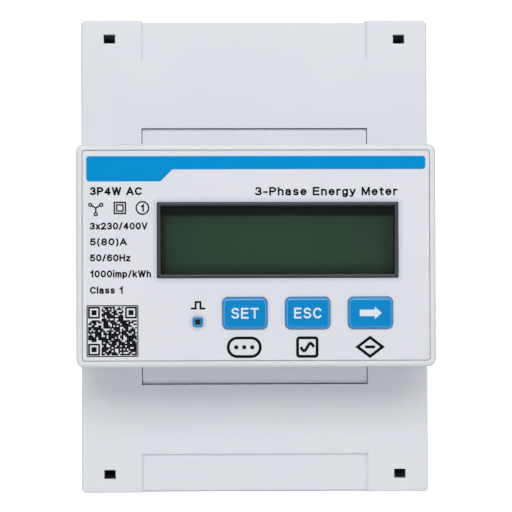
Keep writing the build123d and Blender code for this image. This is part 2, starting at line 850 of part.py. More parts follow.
def make_lamp_ring():
    """The lamp's square ring, with a flange behind the case's front wall."""
    back = front_wall_back - lamp_flange
    flange_side = lamp_ring + 2 * lamp_flange
    with BuildPart() as ring:
        centred(lamp_x, lamp_z, lamp_ring, lamp_ring, (back, nose_front), lamp_radius)
        flange_span = (back, front_wall_back - gap)
        centred(lamp_x, lamp_z, flange_side, flange_side, flange_span, lamp_flange_radius)
        through = (back - 1, nose_front + 1)
        centred(lamp_x, lamp_z, lamp_bore, lamp_bore, through, lamp_bore_radius, Mode.SUBTRACT)
    return ring


def make_lamp_pipe():
    side = lamp_bore - 2 * slip
    back = display_board_face + led_thickness + lamp_back_gap
    with BuildPart() as pipe:
        centred(lamp_x, lamp_z, side, side, (back, nose_front - lamp_recess), 2 * slip)
    return pipe


# Boards and what is soldered to them


def make_board(width, height, back, places):
    """A circuit board with screw holes at the given places."""
    with BuildPart() as board:
        centred(0, 0, width, height, (back, back + board_thickness), board_corner)
        rods(places, small_screw_radius + gap, (back - 1, back + board_thickness + 1), Mode.SUBTRACT)
    return board


def make_contact_pins():
    """Gold-flashed pins: the header between the boards and the auxiliary terminals' four bent pins."""
    half = aux_pin / 2
    turn_z = nose_height / 2 - wall - aux_pin_inset
    header_back = main_board_face + header_thickness
    with BuildPart() as pins:
        for x in aux_xs:
            side = (x - half, x + half)
            slab(side, (turn_z - half, block_inner_z + 1), (aux_pin_front - half, aux_pin_front + half))
            slab(side, (turn_z - half, turn_z + half), (main_board_face, aux_pin_front))
        with BuildSketch(front(header_back)):
            with Locations((header_x, header_z)):
                with GridLocations(header_pitch, header_pitch, header_count, 2):
                    Rectangle(header_pin, header_pin)
        extrude(amount=display_board_front - header_back)
        centred(header_x, header_z, header_width, header_height, (main_board_face, header_back))
    return pins


def make_board_components():
    """The power supply's cans, film capacitor and varistors, and the metering, control and bus chips."""
    face = main_board_face
    with BuildPart() as components:
        rods(can_places, can_radius, (face, face + can_height))
        fillet(components.faces().sort_by(Axis.Y)[0].edges(), can_edge)
        film_x, film_z, film_width, film_height, film_depth = film_capacitor
        centred(film_x, film_z, film_width, film_height, (face, face + film_depth), can_edge)
        for x in varistor_xs:
            with BuildSketch(Plane.YZ.offset(x)):
                with Locations((-(face + varistor_radius + slip), varistor_z)):
                    Circle(varistor_radius)
            extrude(amount=varistor_thickness)
        for x, z, width, height in chips:
            centred(x, z, width, height, (face, face + chip_thickness), chip_corner)
    return components


def add_screws(places, seat, pointing, length, radius, head_radius, head_height):
    """Pan-head screws, heads on the seat. pointing is 1 for a thread to the front, -1 for one to the back."""
    rods(places, radius, (seat, seat + pointing * length))
    rods(places, head_radius, (seat, seat - pointing * head_height))
    recess = (seat - pointing * head_height * 0.4, seat - pointing * (head_height + 1))
    for x, z in places:
        centred(x, z, cross_length, cross_width, recess, mode=Mode.SUBTRACT)
        centred(x, z, cross_width, cross_length, recess, mode=Mode.SUBTRACT)


def make_board_screws():
    """Eight equal screws: four hold the main board from in front, four the display board from behind."""
    sizes = (board_screw_length, small_screw_radius, small_head_radius, small_head_height)
    with BuildPart() as screws:
        add_screws(main_posts, main_board_face, -1, *sizes)
        add_screws(display_posts, display_board_front, 1, *sizes)
    return screws


def make_case_screws():
    with BuildPart() as screws:
        length = case_screw_length + block_step - 1
        sizes = (length, case_screw_radius, case_head_radius, case_head_height)
        add_screws(case_screw_places, block_front, -1, *sizes)
    return screws


# Rail clip


def make_rail_clip():
    body_front = guide_floor - clip_play / 2
    back = body_front - clip_thickness + 0.1
    nose_z = -half_rail + clip_bite
    tab_z = -half_height - clip_tab
    with BuildPart() as clip:
        half = clip_width / 2
        slab((-half, half), (tab_z, channel_bottom_z - 0.6), (back, body_front))
        wing_half = half + clip_wing
        wing_z = (-half_height + 1.0, wing_stop_z - 0.1)
        slab((-wing_half, wing_half), wing_z, (body_front - clip_wing_thickness, body_front))
        # The nose that closes over the lower flange, ramped so that it rides over the rail.
        side_profile(
            [
                (body_front, channel_bottom_z - 0.7),
                (body_front, nose_z),
                (body_front - clip_nose_wall, nose_z),
                (back, nose_z - clip_ramp),
                (back, channel_bottom_z - 0.7),
            ],
            half,
        )
        window_z = (window_bottom_z, window_top_z)
        slab((-window_half, window_half), window_z, (back - 1, body_front + 1), mode=Mode.SUBTRACT)
        # Screwdriver slot through the tab, under the case.
        slot_z = (tab_z + 0.6, -half_height - 0.5)
        tab_slot = (-tab_slot_width / 2, tab_slot_width / 2)
        slab(tab_slot, slot_z, (back - 1, body_front + 1), mode=Mode.SUBTRACT)
    return clip


def make_clip_spring():
    """A compression spring between the stop in the case and the top of the clip's window."""
    low = spring_stop_z + spring_wire + slip
    high = window_top_z - spring_wire - slip
    centre = (0, clip_thickness / 2 - guide_floor, low)
    coil = Helix(pitch=(high - low) / spring_turns, height=high - low, radius=spring_radius, center=centre)
    with BuildPart() as spring:
        with BuildSketch(Plane(origin=coil @ 0, z_dir=coil % 0)):
            Circle(spring_wire)
        sweep(path=coil, is_frenet=True)
    return spring


# Everything in its place

os.makedirs("parts", exist_ok=True)

save(make_rear_case(), "rear_case")
save(make_front_case(), "front_case")
save(make_terminal_block(), "upper_terminal_block")
save(mirrored(make_terminal_block()), "lower_terminal_block")
save(make_terminal_plate(aux_outer_z + barrier_margin), "upper_terminal_plate")
save(mirrored(make_terminal_plate(block_inner_z + barrier_margin)), "lower_terminal_plate")
save(make_terminal_cover(), "upper_terminal_cover")
save(mirrored(make_terminal_cover()), "lower_terminal_cover")

phase_names = ["phase_1", "phase_2", "phase_3", "neutral"]
for name, x in zip(phase_names, terminal_xs):
    cage, screw = make_cage(x), make_terminal_screw(x)
    save(cage, f"upper_cage_{name}")
    save(screw, f"upper_screw_{name}")
    save(mirrored(cage), f"lower_cage_{name}")
    save(mirrored(screw), f"lower_screw_{name}")
    save(make_busbar(x), f"busbar_{name}")
for i, name in enumerate(phase_names[:3]):
    save(make_transformer(terminal_xs[i], (1 - i) * transformer_stagger), f"transformer_{name}")

save(make_aux_block(), "aux_terminal_block")
for i, x in enumerate(aux_xs):
    save(make_aux_screw(x), f"aux_screw_{i + 1}")

save(make_faceplate(), "faceplate")
save(make_display_bezel(), "display_bezel")
save(make_display_window(), "display_window")
save(make_lcd_glass(), "lcd_glass")
save(make_contact_strips(), "contact_strips")
save(make_backlight(), "backlight")
save(make_display_holder(), "display_holder")
for name, x in button_xs.items():
    save(make_button(x), f"{name}_button")
    save(make_plunger(x), f"{name}_switch_plunger")
save(make_display_board_parts(), "display_board_parts")
save(make_lamp_ring(), "lamp_ring")
save(make_lamp_pipe(), "lamp_light_pipe")

display_board = make_board(display_board_width, display_board_height, display_board_front, display_posts)
main_board = make_board(main_board_width, main_board_height, main_board_front, main_posts)
save(display_board, "display_board")
save(main_board, "main_board")
save(make_contact_pins(), "contact_pins")
save(make_board_components(), "board_components")
save(make_board_screws(), "board_screws")
save(make_case_screws(), "case_screws")
save(make_rail_clip(), "rail_clip")
save(make_clip_spring(), "clip_spring")
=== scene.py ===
"""The looks of a rail-mounted three-phase electricity meter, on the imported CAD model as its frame.

Everything is in metres in the CAD frame: +Z up, +X to the right seen from the front, the front faces -Y.
Sizes written here are in millimetres and go through MM once, where a mesh or a material is made.
"""

import json
import math

import bpy
import numpy as np
from mathutils import Matrix, Vector


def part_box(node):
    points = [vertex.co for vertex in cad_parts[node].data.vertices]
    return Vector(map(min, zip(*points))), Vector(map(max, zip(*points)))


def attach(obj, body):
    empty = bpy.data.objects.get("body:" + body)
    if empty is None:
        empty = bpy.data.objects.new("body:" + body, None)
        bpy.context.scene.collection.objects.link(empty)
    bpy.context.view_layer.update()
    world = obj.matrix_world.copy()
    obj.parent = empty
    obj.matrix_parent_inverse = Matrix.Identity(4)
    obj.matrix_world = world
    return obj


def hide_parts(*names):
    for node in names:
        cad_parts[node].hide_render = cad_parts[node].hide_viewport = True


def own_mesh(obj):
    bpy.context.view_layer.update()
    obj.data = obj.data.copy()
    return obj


MM = 0.001
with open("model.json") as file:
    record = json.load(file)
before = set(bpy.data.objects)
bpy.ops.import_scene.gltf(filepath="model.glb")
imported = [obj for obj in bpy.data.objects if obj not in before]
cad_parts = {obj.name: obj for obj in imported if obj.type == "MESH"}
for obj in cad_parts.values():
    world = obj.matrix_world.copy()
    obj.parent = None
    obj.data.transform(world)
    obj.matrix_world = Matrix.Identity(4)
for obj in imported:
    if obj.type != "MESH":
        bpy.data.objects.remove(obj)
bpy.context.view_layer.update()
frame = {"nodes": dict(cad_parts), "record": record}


# ---------------------------------------------------------------------------------------------------------
# Places that come from the frame, in millimetres: x, front distance (towards -Y) and z
# ---------------------------------------------------------------------------------------------------------


def node_box(name):
    """Lowest and highest corner of a CAD node as (x, front, z), so front runs towards the viewer."""
    low, high = (np.array(corner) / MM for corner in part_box(name))
    return np.array([low[0], -high[1], low[2]]), np.array([high[0], -low[1], high[2]])


def middle(name):
    """Middle of a CAD node in the front view, as x and z."""
    low, high = node_box(name)
    return (low[0] + high[0]) / 2, (low[2] + high[2]) / 2


LABEL_FRONT = node_box("faceplate")[1][1]
bezel_low, bezel_high = node_box("display_bezel")
BEZEL_FLANGE = 1.2
BEZEL_RIM = 0.65
DISPLAY_X, DISPLAY_Z = middle("display_bezel")
BEZEL_WIDTH = bezel_high[0] - bezel_low[0] - 2 * BEZEL_FLANGE
BEZEL_HEIGHT = bezel_high[2] - bezel_low[2] - 2 * BEZEL_FLANGE
LAMP_X, LAMP_Z = middle("lamp_ring")
INK_PROUD = 0.03  # how far a print stands out of the label
INK_SUNK = 0.05  # how far it reaches into the label, so that no gap shows


# ---------------------------------------------------------------------------------------------------------
# Camera, lights and backdrop
# ---------------------------------------------------------------------------------------------------------

CAMERA_PLACE = (-8.3, -452.5, -4.5)
CAMERA_AIM = (-0.06, -60.0, -0.14)
CAMERA_ROLL = math.radians(-0.14)
LENS = 138.25
SENSOR = 36.0
WALL_Y = 1.4  # metres, as every size of the studio is


def turn_towards(item, aim, roll=0.0):
    """Points a camera's or a lamp's own -Z axis at a place, then rolls it about that axis."""
    way = Vector(aim) - item.location
    turn = way.to_track_quat("-Z", "Y").to_matrix() @ Matrix.Rotation(roll, 3, "Z")
    item.rotation_euler = turn.to_euler()


def make_camera():
    """A long lens in front of the meter, a little to the left and below its middle."""
    data = bpy.data.cameras.new("camera")
    data.lens = LENS
    data.sensor_width = SENSOR
    camera = bpy.data.objects.new("camera", data)
    camera.location = [value * MM for value in CAMERA_PLACE]
    bpy.context.collection.objects.link(camera)
    turn_towards(camera, [value * MM for value in CAMERA_AIM], CAMERA_ROLL)
    bpy.context.scene.camera = camera


def add_softbox(name, place, width, height, watts, aim=(0.0, 0.0, 0.0)):
    """A rectangular diffusing panel that shines at the meter."""
    data = bpy.data.lights.new(name, "AREA")
    data.shape = "RECTANGLE"
    data.size = width
    data.size_y = height
    data.energy = watts
    lamp = bpy.data.objects.new(name, data)
    lamp.location = place
    bpy.context.collection.objects.link(lamp)
    turn_towards(lamp, aim)


# ---------------------------------------------------------------------------------------------------------
# Material tools
# ---------------------------------------------------------------------------------------------------------


def linear(code):
    """An sRGB hex colour as linear red, green, blue and alpha."""
    channels = [int(code[i : i + 2], 16) / 255 for i in (1, 3, 5)]
    turned = [c / 12.92 if c <= 0.04045 else ((c + 0.055) / 1.055) ** 2.4 for c in channels]
    return (*turned, 1.0)


def add_node(tree, kind, links=None, **settings):
    """Adds a node. Links maps an input's name or number to a value or to the output that feeds it."""
    node = tree.nodes.new(f"ShaderNode{kind}")
    for name, value in settings.items():
        setattr(node, name, value)
    for name, value in (links or {}).items():
        if isinstance(value, bpy.types.NodeSocket):
            tree.links.new(value, node.inputs[name])
        else:
            node.inputs[name].default_value = value
    return node


# A Mix node's factor and its two colours by number, because its sockets share their names, and its result.
FACTOR, FIRST, SECOND, MIXED = 0, 6, 7, 2


def start_material(name, **constants):
    """An empty material with one Principled shader. Constants are its inputs that are the same all over."""
    material = bpy.data.materials.new(name)
    material.use_nodes = True
    tree = material.node_tree
    tree.nodes.clear()
    inputs = {key.replace("_", " "): value for key, value in constants.items()}
    shader = add_node(tree, "BsdfPrincipled", inputs)
    output = add_node(tree, "OutputMaterial")
    tree.links.new(shader.outputs[0], output.inputs[0])
    place = add_node(tree, "TexCoord").outputs["Object"]
    return material, tree, shader, place


def mottle(tree, place, size_mm, detail=3.0, stretch=(1.0, 1.0, 1.0)):
    """Soft blotches about size_mm across, longer along an axis by its stretch, as a factor of 0 to 1."""
    scaled = add_node(tree, "Mapping", {"Vector": place, "Scale": [1 / s for s in stretch]})
    links = {"Vector": scaled.outputs[0], "Scale": 1 / (size_mm * MM), "Detail": detail, "Roughness": 0.55}
    return add_node(tree, "TexNoise", links).outputs["Fac"]


def finish_surface(tree, shader, colour, sheen, roughness, relief=None, depth_mm=0.0):
    """Gives a shader its colour, a roughness that runs through a range with a pattern, and a relief of a
    real depth."""
    tree.links.new(colour, shader.inputs["Base Color"])
    rough = add_node(tree, "MapRange", {"Value": sheen, "To Min": roughness[0], "To Max": roughness[1]})
    tree.links.new(rough.outputs[0], shader.inputs["Roughness"])
    if relief is not None:
        bump = add_node(tree, "Bump", {"Height": relief, "Distance": depth_mm * MM, "Strength": 1.0})
        tree.links.new(bump.outputs[0], shader.inputs["Normal"])


def faded(tree, colour, tint, value, start_mm, end_mm, first, last):
    """A colour with a tint over it, whose strength goes smoothly from first to last as a length goes from
    start to end."""
    links = {"Value": value, "From Min": start_mm * MM, "From Max": end_mm * MM}
    links |= {"To Min": first, "To Max": last}
    strength = add_node(tree, "MapRange", links, interpolation_type="SMOOTHSTEP").outputs[0]
    links = {FACTOR: strength, FIRST: colour, SECOND: linear(tint)}
    return add_node(tree, "Mix", links, data_type="RGBA").outputs[MIXED]


def rounded_distance(tree, place, centre, half):
    """Distance in the front plane from a rectangle: the length of what is left of |p - centre| - half
    above nought."""
    steps = [
        ("SUBTRACT", (centre[0] * MM, 0.0, centre[1] * MM)),
        ("MULTIPLY", (1.0, 0.0, 1.0)),
        ("ABSOLUTE", (0.0, 0.0, 0.0)),
        ("SUBTRACT", (half[0] * MM, 0.0, half[1] * MM)),
        ("MAXIMUM", (0.0, 0.0, 0.0)),
    ]
    for operation, vector in steps:
        place = add_node(tree, "VectorMath", {0: place, 1: vector}, operation=operation).outputs[0]
    return add_node(tree, "VectorMath", {0: place}, operation="LENGTH").outputs["Value"]


def moulded(name, dark, light, roughness, grain_mm, depth_mm, patch_mm=18.0, spread=0.05, **constants):
    """Injection-moulded plastic: a spark-eroded grain, faint cloudy shade and an uneven sheen."""
    material, tree, shader, place = start_material(name, **constants)
    cloud = mottle(tree, place, patch_mm, detail=2.0)
    links = {FACTOR: cloud, FIRST: linear(dark), SECOND: linear(light)}
    colour = add_node(tree, "Mix", links, data_type="RGBA").outputs[MIXED]
    grain = mottle(tree, place, grain_mm)
    sheen = mottle(tree, place, patch_mm / 3)
    finish_surface(tree, shader, colour, sheen, (roughness - spread, roughness + spread), grain, depth_mm)
    return material


def brushed_metal(name, dark, light, roughness, line_mm, stretch, depth_mm=0.006):
    """Metal with drawn or brushed lines: noise pulled out along one axis, in shade, sheen and relief."""
    material, tree, shader, place = start_material(name, Metallic=1.0)
    lines = mottle(tree, place, line_mm, detail=4.0, stretch=stretch)
    cloud = mottle(tree, place, 5.0, detail=2.0)
    links = {FACTOR: lines, FIRST: linear(dark), SECOND: linear(light)}
    both = add_node(tree, "Mix", links, data_type="RGBA").outputs[MIXED]
    tarnish = add_node(tree, "MapRange", {"Value": cloud, "To Max": 0.3}).outputs[0]
    links = {FACTOR: tarnish, FIRST: both, SECOND: linear(dark)}
    colour = add_node(tree, "Mix", links, data_type="RGBA").outputs[MIXED]
    finish_surface(tree, shader, colour, lines, (roughness - 0.08, roughness + 0.1), lines, depth_mm)
    return material


# ---------------------------------------------------------------------------------------------------------
# Materials
# ---------------------------------------------------------------------------------------------------------


def case_polycarbonate():
    """Light grey polycarbonate from a spark-eroded mould: satin, with a grain of about a third of a
    millimetre, drawn at twice its size so that it shows."""
    return moulded("light_grey_polycarbonate", "#dddfe4", "#e4e6ea", 0.46, 0.7, 0.012, IOR=1.585)


def terminal_polyamide():
    """Glass-filled light grey polyamide of the terminal blocks: duller and a little uneven where fibres
    reach the skin."""
    return moulded("glass_filled_polyamide", "#cfd1d5", "#dcdee1", 0.55, 0.9, 0.03, IOR=1.53)


def clip_polyamide():
    """Mid-grey polyamide of the rail clip and inner holders: dense, slightly waxy."""
    return moulded("mid_grey_polyamide", "#8c9196", "#9a9ea2", 0.5, 0.8, 0.02, IOR=1.53)


def frame_polycarbonate():
    """Slate polycarbonate of the display frame, from a polished mould: even, with a soft gloss."""
    return moulded("slate_polycarbonate", "#30353e", "#383d47", 0.4, 0.5, 0.004, IOR=1.585)


def key_plastic():
    """Blue ABS of the keys and the lamp ring, from a fine-blasted mould: smooth, with a soft gloss."""
    gloss = {"IOR": 1.54, "Coat_Weight": 0.6, "Coat_Roughness": 0.1}
    return moulded("blue_abs", "#0087ca", "#008fd4", 0.2, 0.5, 0.006, spread=0.04, **gloss)


def label_overlay():
    """Velvet-textured polycarbonate overlay, printed light grey from behind. A soft blue-grey shade is
    painted round the display frame and round the pulse lamp ring, where they stand out of the label."""
    material, tree, shader, place = start_material("velvet_overlay", IOR=1.585)
    cloud = mottle(tree, place, 25.0, detail=2.0)
    links = {FACTOR: cloud, FIRST: linear("#dfe0e6"), SECOND: linear("#e5e6eb")}
    colour = add_node(tree, "Mix", links, data_type="RGBA").outputs[MIXED]
    inner = (BEZEL_WIDTH / 2 - 0.4, BEZEL_HEIGHT / 2 - 0.4)
    # painted shade: a blue-grey halo that fades outwards from just outside the display frame
    display = rounded_distance(tree, place, (DISPLAY_X, DISPLAY_Z), inner)
    colour = faded(tree, colour, "#aeb4c6", display, 0.45, 1.7, 0.5, 0.0)
    # painted shade: a blue-grey halo that fades out between 1.2 and 2.1 mm from the pulse lamp's middle
    lamp = rounded_distance(tree, place, (LAMP_X, LAMP_Z), (0.0, 0.0))
    colour = faded(tree, colour, "#b4bac9", lamp, 1.2, 2.1, 0.6, 0.0)
    sheen = mottle(tree, place, 4.0)
    velvet = mottle(tree, place, 0.45, detail=2.0)
    finish_surface(tree, shader, colour, sheen, (0.36, 0.44), velvet, 0.008)
    return material


def display_film():
    """Dark green polarising film on the display's glass, with a faint vertical draw. The shade that the frame
    casts on the recessed film is painted into its colour: dark along the upper edge and, fading, along the
    left and lower edges."""
    material, tree, shader, place = start_material("polarising_film", IOR=1.5, Specular_IOR_Level=0.3)
    cloud = mottle(tree, place, 14.0, detail=2.0)
    draw = mottle(tree, place, 0.5, stretch=(1.0, 1.0, 24.0))
    links = {FACTOR: cloud, FIRST: linear("#43634a"), SECOND: linear("#486a50")}
    colour = add_node(tree, "Mix", links, data_type="RGBA").outputs[MIXED]
    streak = add_node(tree, "MapRange", {"Value": draw, "To Max": 0.15}).outputs[0]
    links = {FACTOR: streak, FIRST: colour, SECOND: linear("#3b5541")}
    colour = add_node(tree, "Mix", links, data_type="RGBA").outputs[MIXED]
    upper, lower = (DISPLAY_Z + way * (BEZEL_HEIGHT / 2 - BEZEL_RIM) for way in (1, -1))
    left = DISPLAY_X - BEZEL_WIDTH / 2 + BEZEL_RIM
    axes = add_node(tree, "SeparateXYZ", {"Vector": place}).outputs
    # painted shadow of the frame along the upper edge, then painted shade fading in from the left and lower
    # edges
    colour = faded(tree, colour, "#0c150e", axes["Z"], upper - 2.3, upper - 1.5, 0.0, 0.86)
    colour = faded(tree, colour, "#18261a", axes["X"], left + 1.5, left + 0.1, 0.0, 0.6)
    colour = faded(tree, colour, "#1c2c1b", axes["Z"], lower + 2.6, lower, 0.0, 0.55)
    finish_surface(tree, shader, colour, cloud, (0.26, 0.32), draw, 0.002)
    return material


def clear_polycarbonate():
    """Clear polycarbonate window from a polished mould, with a moulded sheet's faint tint and waviness."""
    material, tree, shader, place = start_material("clear_polycarbonate", IOR=1.585, Transmission_Weight=1.0)
    links = {FACTOR: mottle(tree, place, 20.0), FIRST: linear("#f9fbfa"), SECOND: linear("#ffffff")}
    colour = add_node(tree, "Mix", links, data_type="RGBA").outputs[MIXED]
    sheen = mottle(tree, place, 6.0)
    waves = mottle(tree, place, 15.0, detail=1.0)
    finish_surface(tree, shader, colour, sheen, (0.0, 0.01), waves, 0.01)
    return material


def milky_diffuser():
    """Milky acrylic of the backlight: evenly matt and slightly translucent."""
    return moulded("milky_acrylic", "#eceae4", "#f6f5f1", 0.5, 1.2, 0.01, IOR=1.49, Subsurface_Weight=0.2)


def layered_silicone():
    """Silicone contact strip, built up of conducting black and insulating red layers that are about a tenth
    of a millimetre thick. A pair of them is drawn 1.57 mm thick, so that it shows."""
    material, tree, shader, place = start_material("layered_silicone", IOR=1.41)
    # the bands of a wave texture are pi / 10 apart at a scale of 1
    links = {"Vector": place, "Scale": math.pi / 10 / (1.5708 * MM), "Distortion": 0.0}
    layers = add_node(tree, "TexWave", links, bands_direction="X").outputs["Fac"]
    links = {FACTOR: layers, FIRST: linear("#1a1a1b"), SECOND: linear("#a2413f")}
    colour = add_node(tree, "Mix", links, data_type="RGBA").outputs[MIXED]
    finish_surface(tree, shader, colour, mottle(tree, place, 2.0), (0.6, 0.75))
    return material


def component_epoxy():
    """Black moulded epoxy of chips and switches: matt, with a fine blasted grain."""
    return moulded("black_epoxy", "#161618", "#1f2022", 0.6, 0.5, 0.01, patch_mm=6.0, IOR=1.55)


def light_guide():
    """Clear acrylic light pipe with a dark lamp behind it."""
    clear = {"IOR": 1.49, "Coat_Weight": 0.5}
    return moulded("smoked_acrylic", "#202528", "#2b3134", 0.12, 0.6, 0.002, patch_mm=2.0, **clear)


def circuit_board():
    """Glass-fibre board under green solder resist: copper tracks 0.4 mm wide show through as a lighter,
    raised green."""
    material, tree, shader, place = start_material("green_solder_resist", IOR=1.55)
    upright = add_node(tree, "Mapping", {"Vector": place, "Rotation": (math.radians(90), 0.0, 0.0)})
    links = {
        "Vector": upright.outputs[0],
        "Color1": (0.0, 0.0, 0.0, 1.0),
        "Color2": (0.15, 0.15, 0.15, 1.0),
        "Mortar": (1.0, 1.0, 1.0, 1.0),
        "Scale": 1 / (2.54 * MM),
        "Mortar Size": 0.08,
        "Mortar Smooth": 0.1,
        "Brick Width": 3.0,
        "Row Height": 0.5,
    }
    tracks = add_node(tree, "TexBrick", links).outputs["Color"]
    track = add_node(tree, "SeparateColor", {"Color": tracks}).outputs[0]
    cloud = mottle(tree, place, 9.0)
    links = {FACTOR: cloud, FIRST: linear("#0c4a2b"), SECOND: linear("#115834")}
    resist = add_node(tree, "Mix", links, data_type="RGBA").outputs[MIXED]
    links = {FACTOR: track, FIRST: resist, SECOND: linear("#2a7d4c")}
    colour = add_node(tree, "Mix", links, data_type="RGBA").outputs[MIXED]
    finish_surface(tree, shader, colour, cloud, (0.28, 0.4), track, 0.03)
    return material


def tinned_copper():
    """Rolled copper bar under hot tin: pale, faintly yellow, with rolling lines along its length."""
    return brushed_metal("tinned_copper", "#b5b1a8", "#d2cfc8", 0.34, 0.25, (1.0, 1.0, 30.0))


def zinc_plating():
    """Bright zinc plating with clear passivation on pressed and turned steel: cloudy and softly brushed."""
    return brushed_metal("zinc_plated_steel", "#b3b6b9", "#d0d3d5", 0.3, 0.3, (12.0, 1.0, 1.0))


def spring_wire():
    """Drawn spring steel wire: darker, with a fine grain."""
    return brushed_metal("drawn_spring_steel", "#85888b", "#a9acaf", 0.3, 0.2, (1.0, 1.0, 1.0), 0.003)


def gold_flash():
    """Gold flash over nickel on brass pins: smooth, with faint drawing lines along the pin."""
    return brushed_metal("gold_flashed_brass", "#c79a3f", "#e2bd68", 0.25, 0.2, (1.0, 14.0, 1.0), 0.002)


def core_coating():
    """Dark blue epoxy powder on the ring cores: glossy and a little wavy where it flowed before it set."""
    return moulded("blue_epoxy_powder", "#14284f", "#1c3566", 0.25, 2.5, 0.08, patch_mm=7.0, IOR=1.55)


def screen_ink(name, colour, worn):
    """Screen-printed ink: nearly flat, with the faint mesh of the screen and a slightly uneven lay."""
    material, tree, shader, place = start_material(name, IOR=1.5, Specular_IOR_Level=0.06)
    lay = mottle(tree, place, 1.2, detail=4.0)
    thin = add_node(tree, "MapRange", {"Value": lay, "To Max": 0.5}).outputs[0]
    links = {FACTOR: thin, FIRST: linear(colour), SECOND: linear(worn)}
    printed = add_node(tree, "Mix", links, data_type="RGBA").outputs[MIXED]
    finish_surface(tree, shader, printed, lay, (0.55, 0.65))
    return material


def studio_paper():
    """Matt white seamless paper. A painted glow: the paper itself emits light in a round patch of its far
    part, fading outwards, in place of a lamp behind it.
    """
    material, tree, shader, place = start_material("seamless_paper", Roughness=0.9)
    shader.inputs["Emission Color"].default_value = (1.0, 1.0, 1.0, 1.0)
    # painted glow: emission strength fades from 0.95 to nothing between 0.38 m and 0.8 m from the patch's
    # middle
    from_patch = add_node(tree, "VectorMath", {0: place, 1: (0.0, WALL_Y, 0.0)}, operation="DISTANCE")
    distance = from_patch.outputs["Value"]
    links = {"Value": distance, "From Min": 0.38, "From Max": 0.8, "To Min": 0.95, "To Max": 0.0}
    glow = add_node(tree, "MapRange", links, interpolation_type="SMOOTHSTEP")
    tree.links.new(glow.outputs[0], shader.inputs["Emission Strength"])
    links = {FACTOR: mottle(tree, place, 300.0), FIRST: linear("#f1f1f1"), SECOND: linear("#f7f7f7")}
    pulp = add_node(tree, "Mix", links, data_type="RGBA").outputs[MIXED]
    tree.links.new(pulp, shader.inputs["Base Color"])
    return material


MATERIALS = {
    "light_grey_housing": case_polycarbonate(),
    "light_grey_terminal_block": terminal_polyamide(),
    "grey_polyamide": clip_polyamide(),
    "slate_frame": frame_polycarbonate(),
    "printed_label": label_overlay(),
    "clear_window": clear_polycarbonate(),
    "lcd_glass": display_film(),
    "white_diffuser": milky_diffuser(),
    "conductive_rubber": layered_silicone(),
    "blue_key_plastic": key_plastic(),
    "black_component_plastic": component_epoxy(),
    "clear_light_guide": light_guide(),
    "green_circuit_board": circuit_board(),
    "gold_pins": gold_flash(),
    "tinned_copper": tinned_copper(),
    "blue_potting": core_coating(),
    "zinc_plated_steel": zinc_plating(),
    "spring_steel": spring_wire(),
}
DARK_INK = screen_ink("slate_grey_ink", "#0d0f13", "#171a20")
BLUE_INK = screen_ink("cyan_blue_ink", "#008ecf", "#0094d5")
LEGEND_INK = screen_ink("pale_legend_ink", "#e2ebf3", "#cfe2ef")


def paint_nodes():
    """Gives each CAD node the material of its slot."""
    for entry in frame["record"]["subparts"]:
        slots = frame["nodes"][entry["node"]].data.materials
        slots.clear()
        slots.append(MATERIALS[entry["material_slot"]])


# ---------------------------------------------------------------------------------------------------------
# Mesh tools
# ---------------------------------------------------------------------------------------------------------


def to_world(x, front, z):
    """Front-view places in millimetres as world points in metres."""
    return np.stack([x, -front, z], axis=-1) * MM


def grid_quads(rows, columns, wrap_rows, wrap_columns):
    """Corner numbers of the quads of a grid of points, joined round where it wraps."""
    r = np.arange(rows if wrap_rows else rows - 1)
    c = np.arange(columns if wrap_columns else columns - 1)
    r, c = (a.ravel() for a in np.meshgrid(r, c, indexing="ij"))
    down, across = (r + 1) % rows, (c + 1) % columns
    corners = [(r, c), (r, across), (down, across), (down, c)]
    return np.stack([row * columns + column for row, column in corners], axis=1)


def signed_volume(points, faces):
    """Six times the volume that the faces close in: the sum of each fan triangle's triple product."""
    total = 0.0
    for size in {len(face) for face in faces}:
        same = np.array([face for face in faces if len(face) == size])
        for i in range(1, size - 1):
            a, b, c = points[same[:, 0]], points[same[:, i]], points[same[:, i + 1]]
            total += float((a * np.cross(b, c)).sum())
    return total


def oriented(points, faces):
    """The faces of a closed mesh, all turned outwards."""
    faces = [tuple(int(i) for i in face) for face in faces]
    return faces if signed_volume(points, faces) >= 0 else [face[::-1] for face in faces]


def join_solids(solids):
    """Several (points, faces) solids as one."""
    points, faces, start = [], [], 0
    for solid_points, solid_faces in solids:
        points.append(solid_points)
        faces += [tuple(i + start for i in face) for face in oriented(solid_points, solid_faces)]
        start += len(solid_points)
    return np.concatenate(points), faces


def add_piece(name, solid, slot, body, ink=None, replaced=(), sharp=35.0):
    """Makes a closed (points, faces) solid into a finished piece of the meter, in its slot's material or in
    ink."""
    points, faces = solid
    mesh = bpy.data.meshes.new(name)
    mesh.from_pydata(points.tolist(), [], oriented(points, faces))
    mesh.update()
    mesh.shade_smooth()
    mesh.set_sharp_from_angle(angle=math.radians(sharp))
    mesh.materials.append(ink or MATERIALS[slot])
    piece = bpy.data.objects.new(name, mesh)
    bpy.context.collection.objects.link(piece)
    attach(piece, body)
    if replaced:
        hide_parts(*replaced)
    return piece


def add_print(name, solids):
    """Dark print on the label."""
    add_piece(name, join_solids(solids), "printed_label", "base", ink=DARK_INK)


def rounded_rectangle(width, height, radius, steps=6):
    """Outline of a rounded rectangle, anticlockwise: each corner is a quarter circle, corner centre plus
    radius times (cos a, sin a), and the sides join them."""
    quarter = np.linspace(0.0, math.pi / 2, steps + 1)
    angle = (quarter[None, :] + math.pi / 2 * np.arange(4)[:, None]).ravel()
    side_x = np.repeat([1, -1, -1, 1], steps + 1) * (width / 2 - radius)
    side_z = np.repeat([1, 1, -1, -1], steps + 1) * (height / 2 - radius)
    return np.stack([side_x + radius * np.cos(angle), side_z + radius * np.sin(angle)], axis=1)


def circle(radius, steps=40):
    """Outline of a circle, anticlockwise."""
    angle = np.arange(steps) * 2 * math.pi / steps
    return radius * np.stack([np.cos(angle), np.sin(angle)], axis=1)


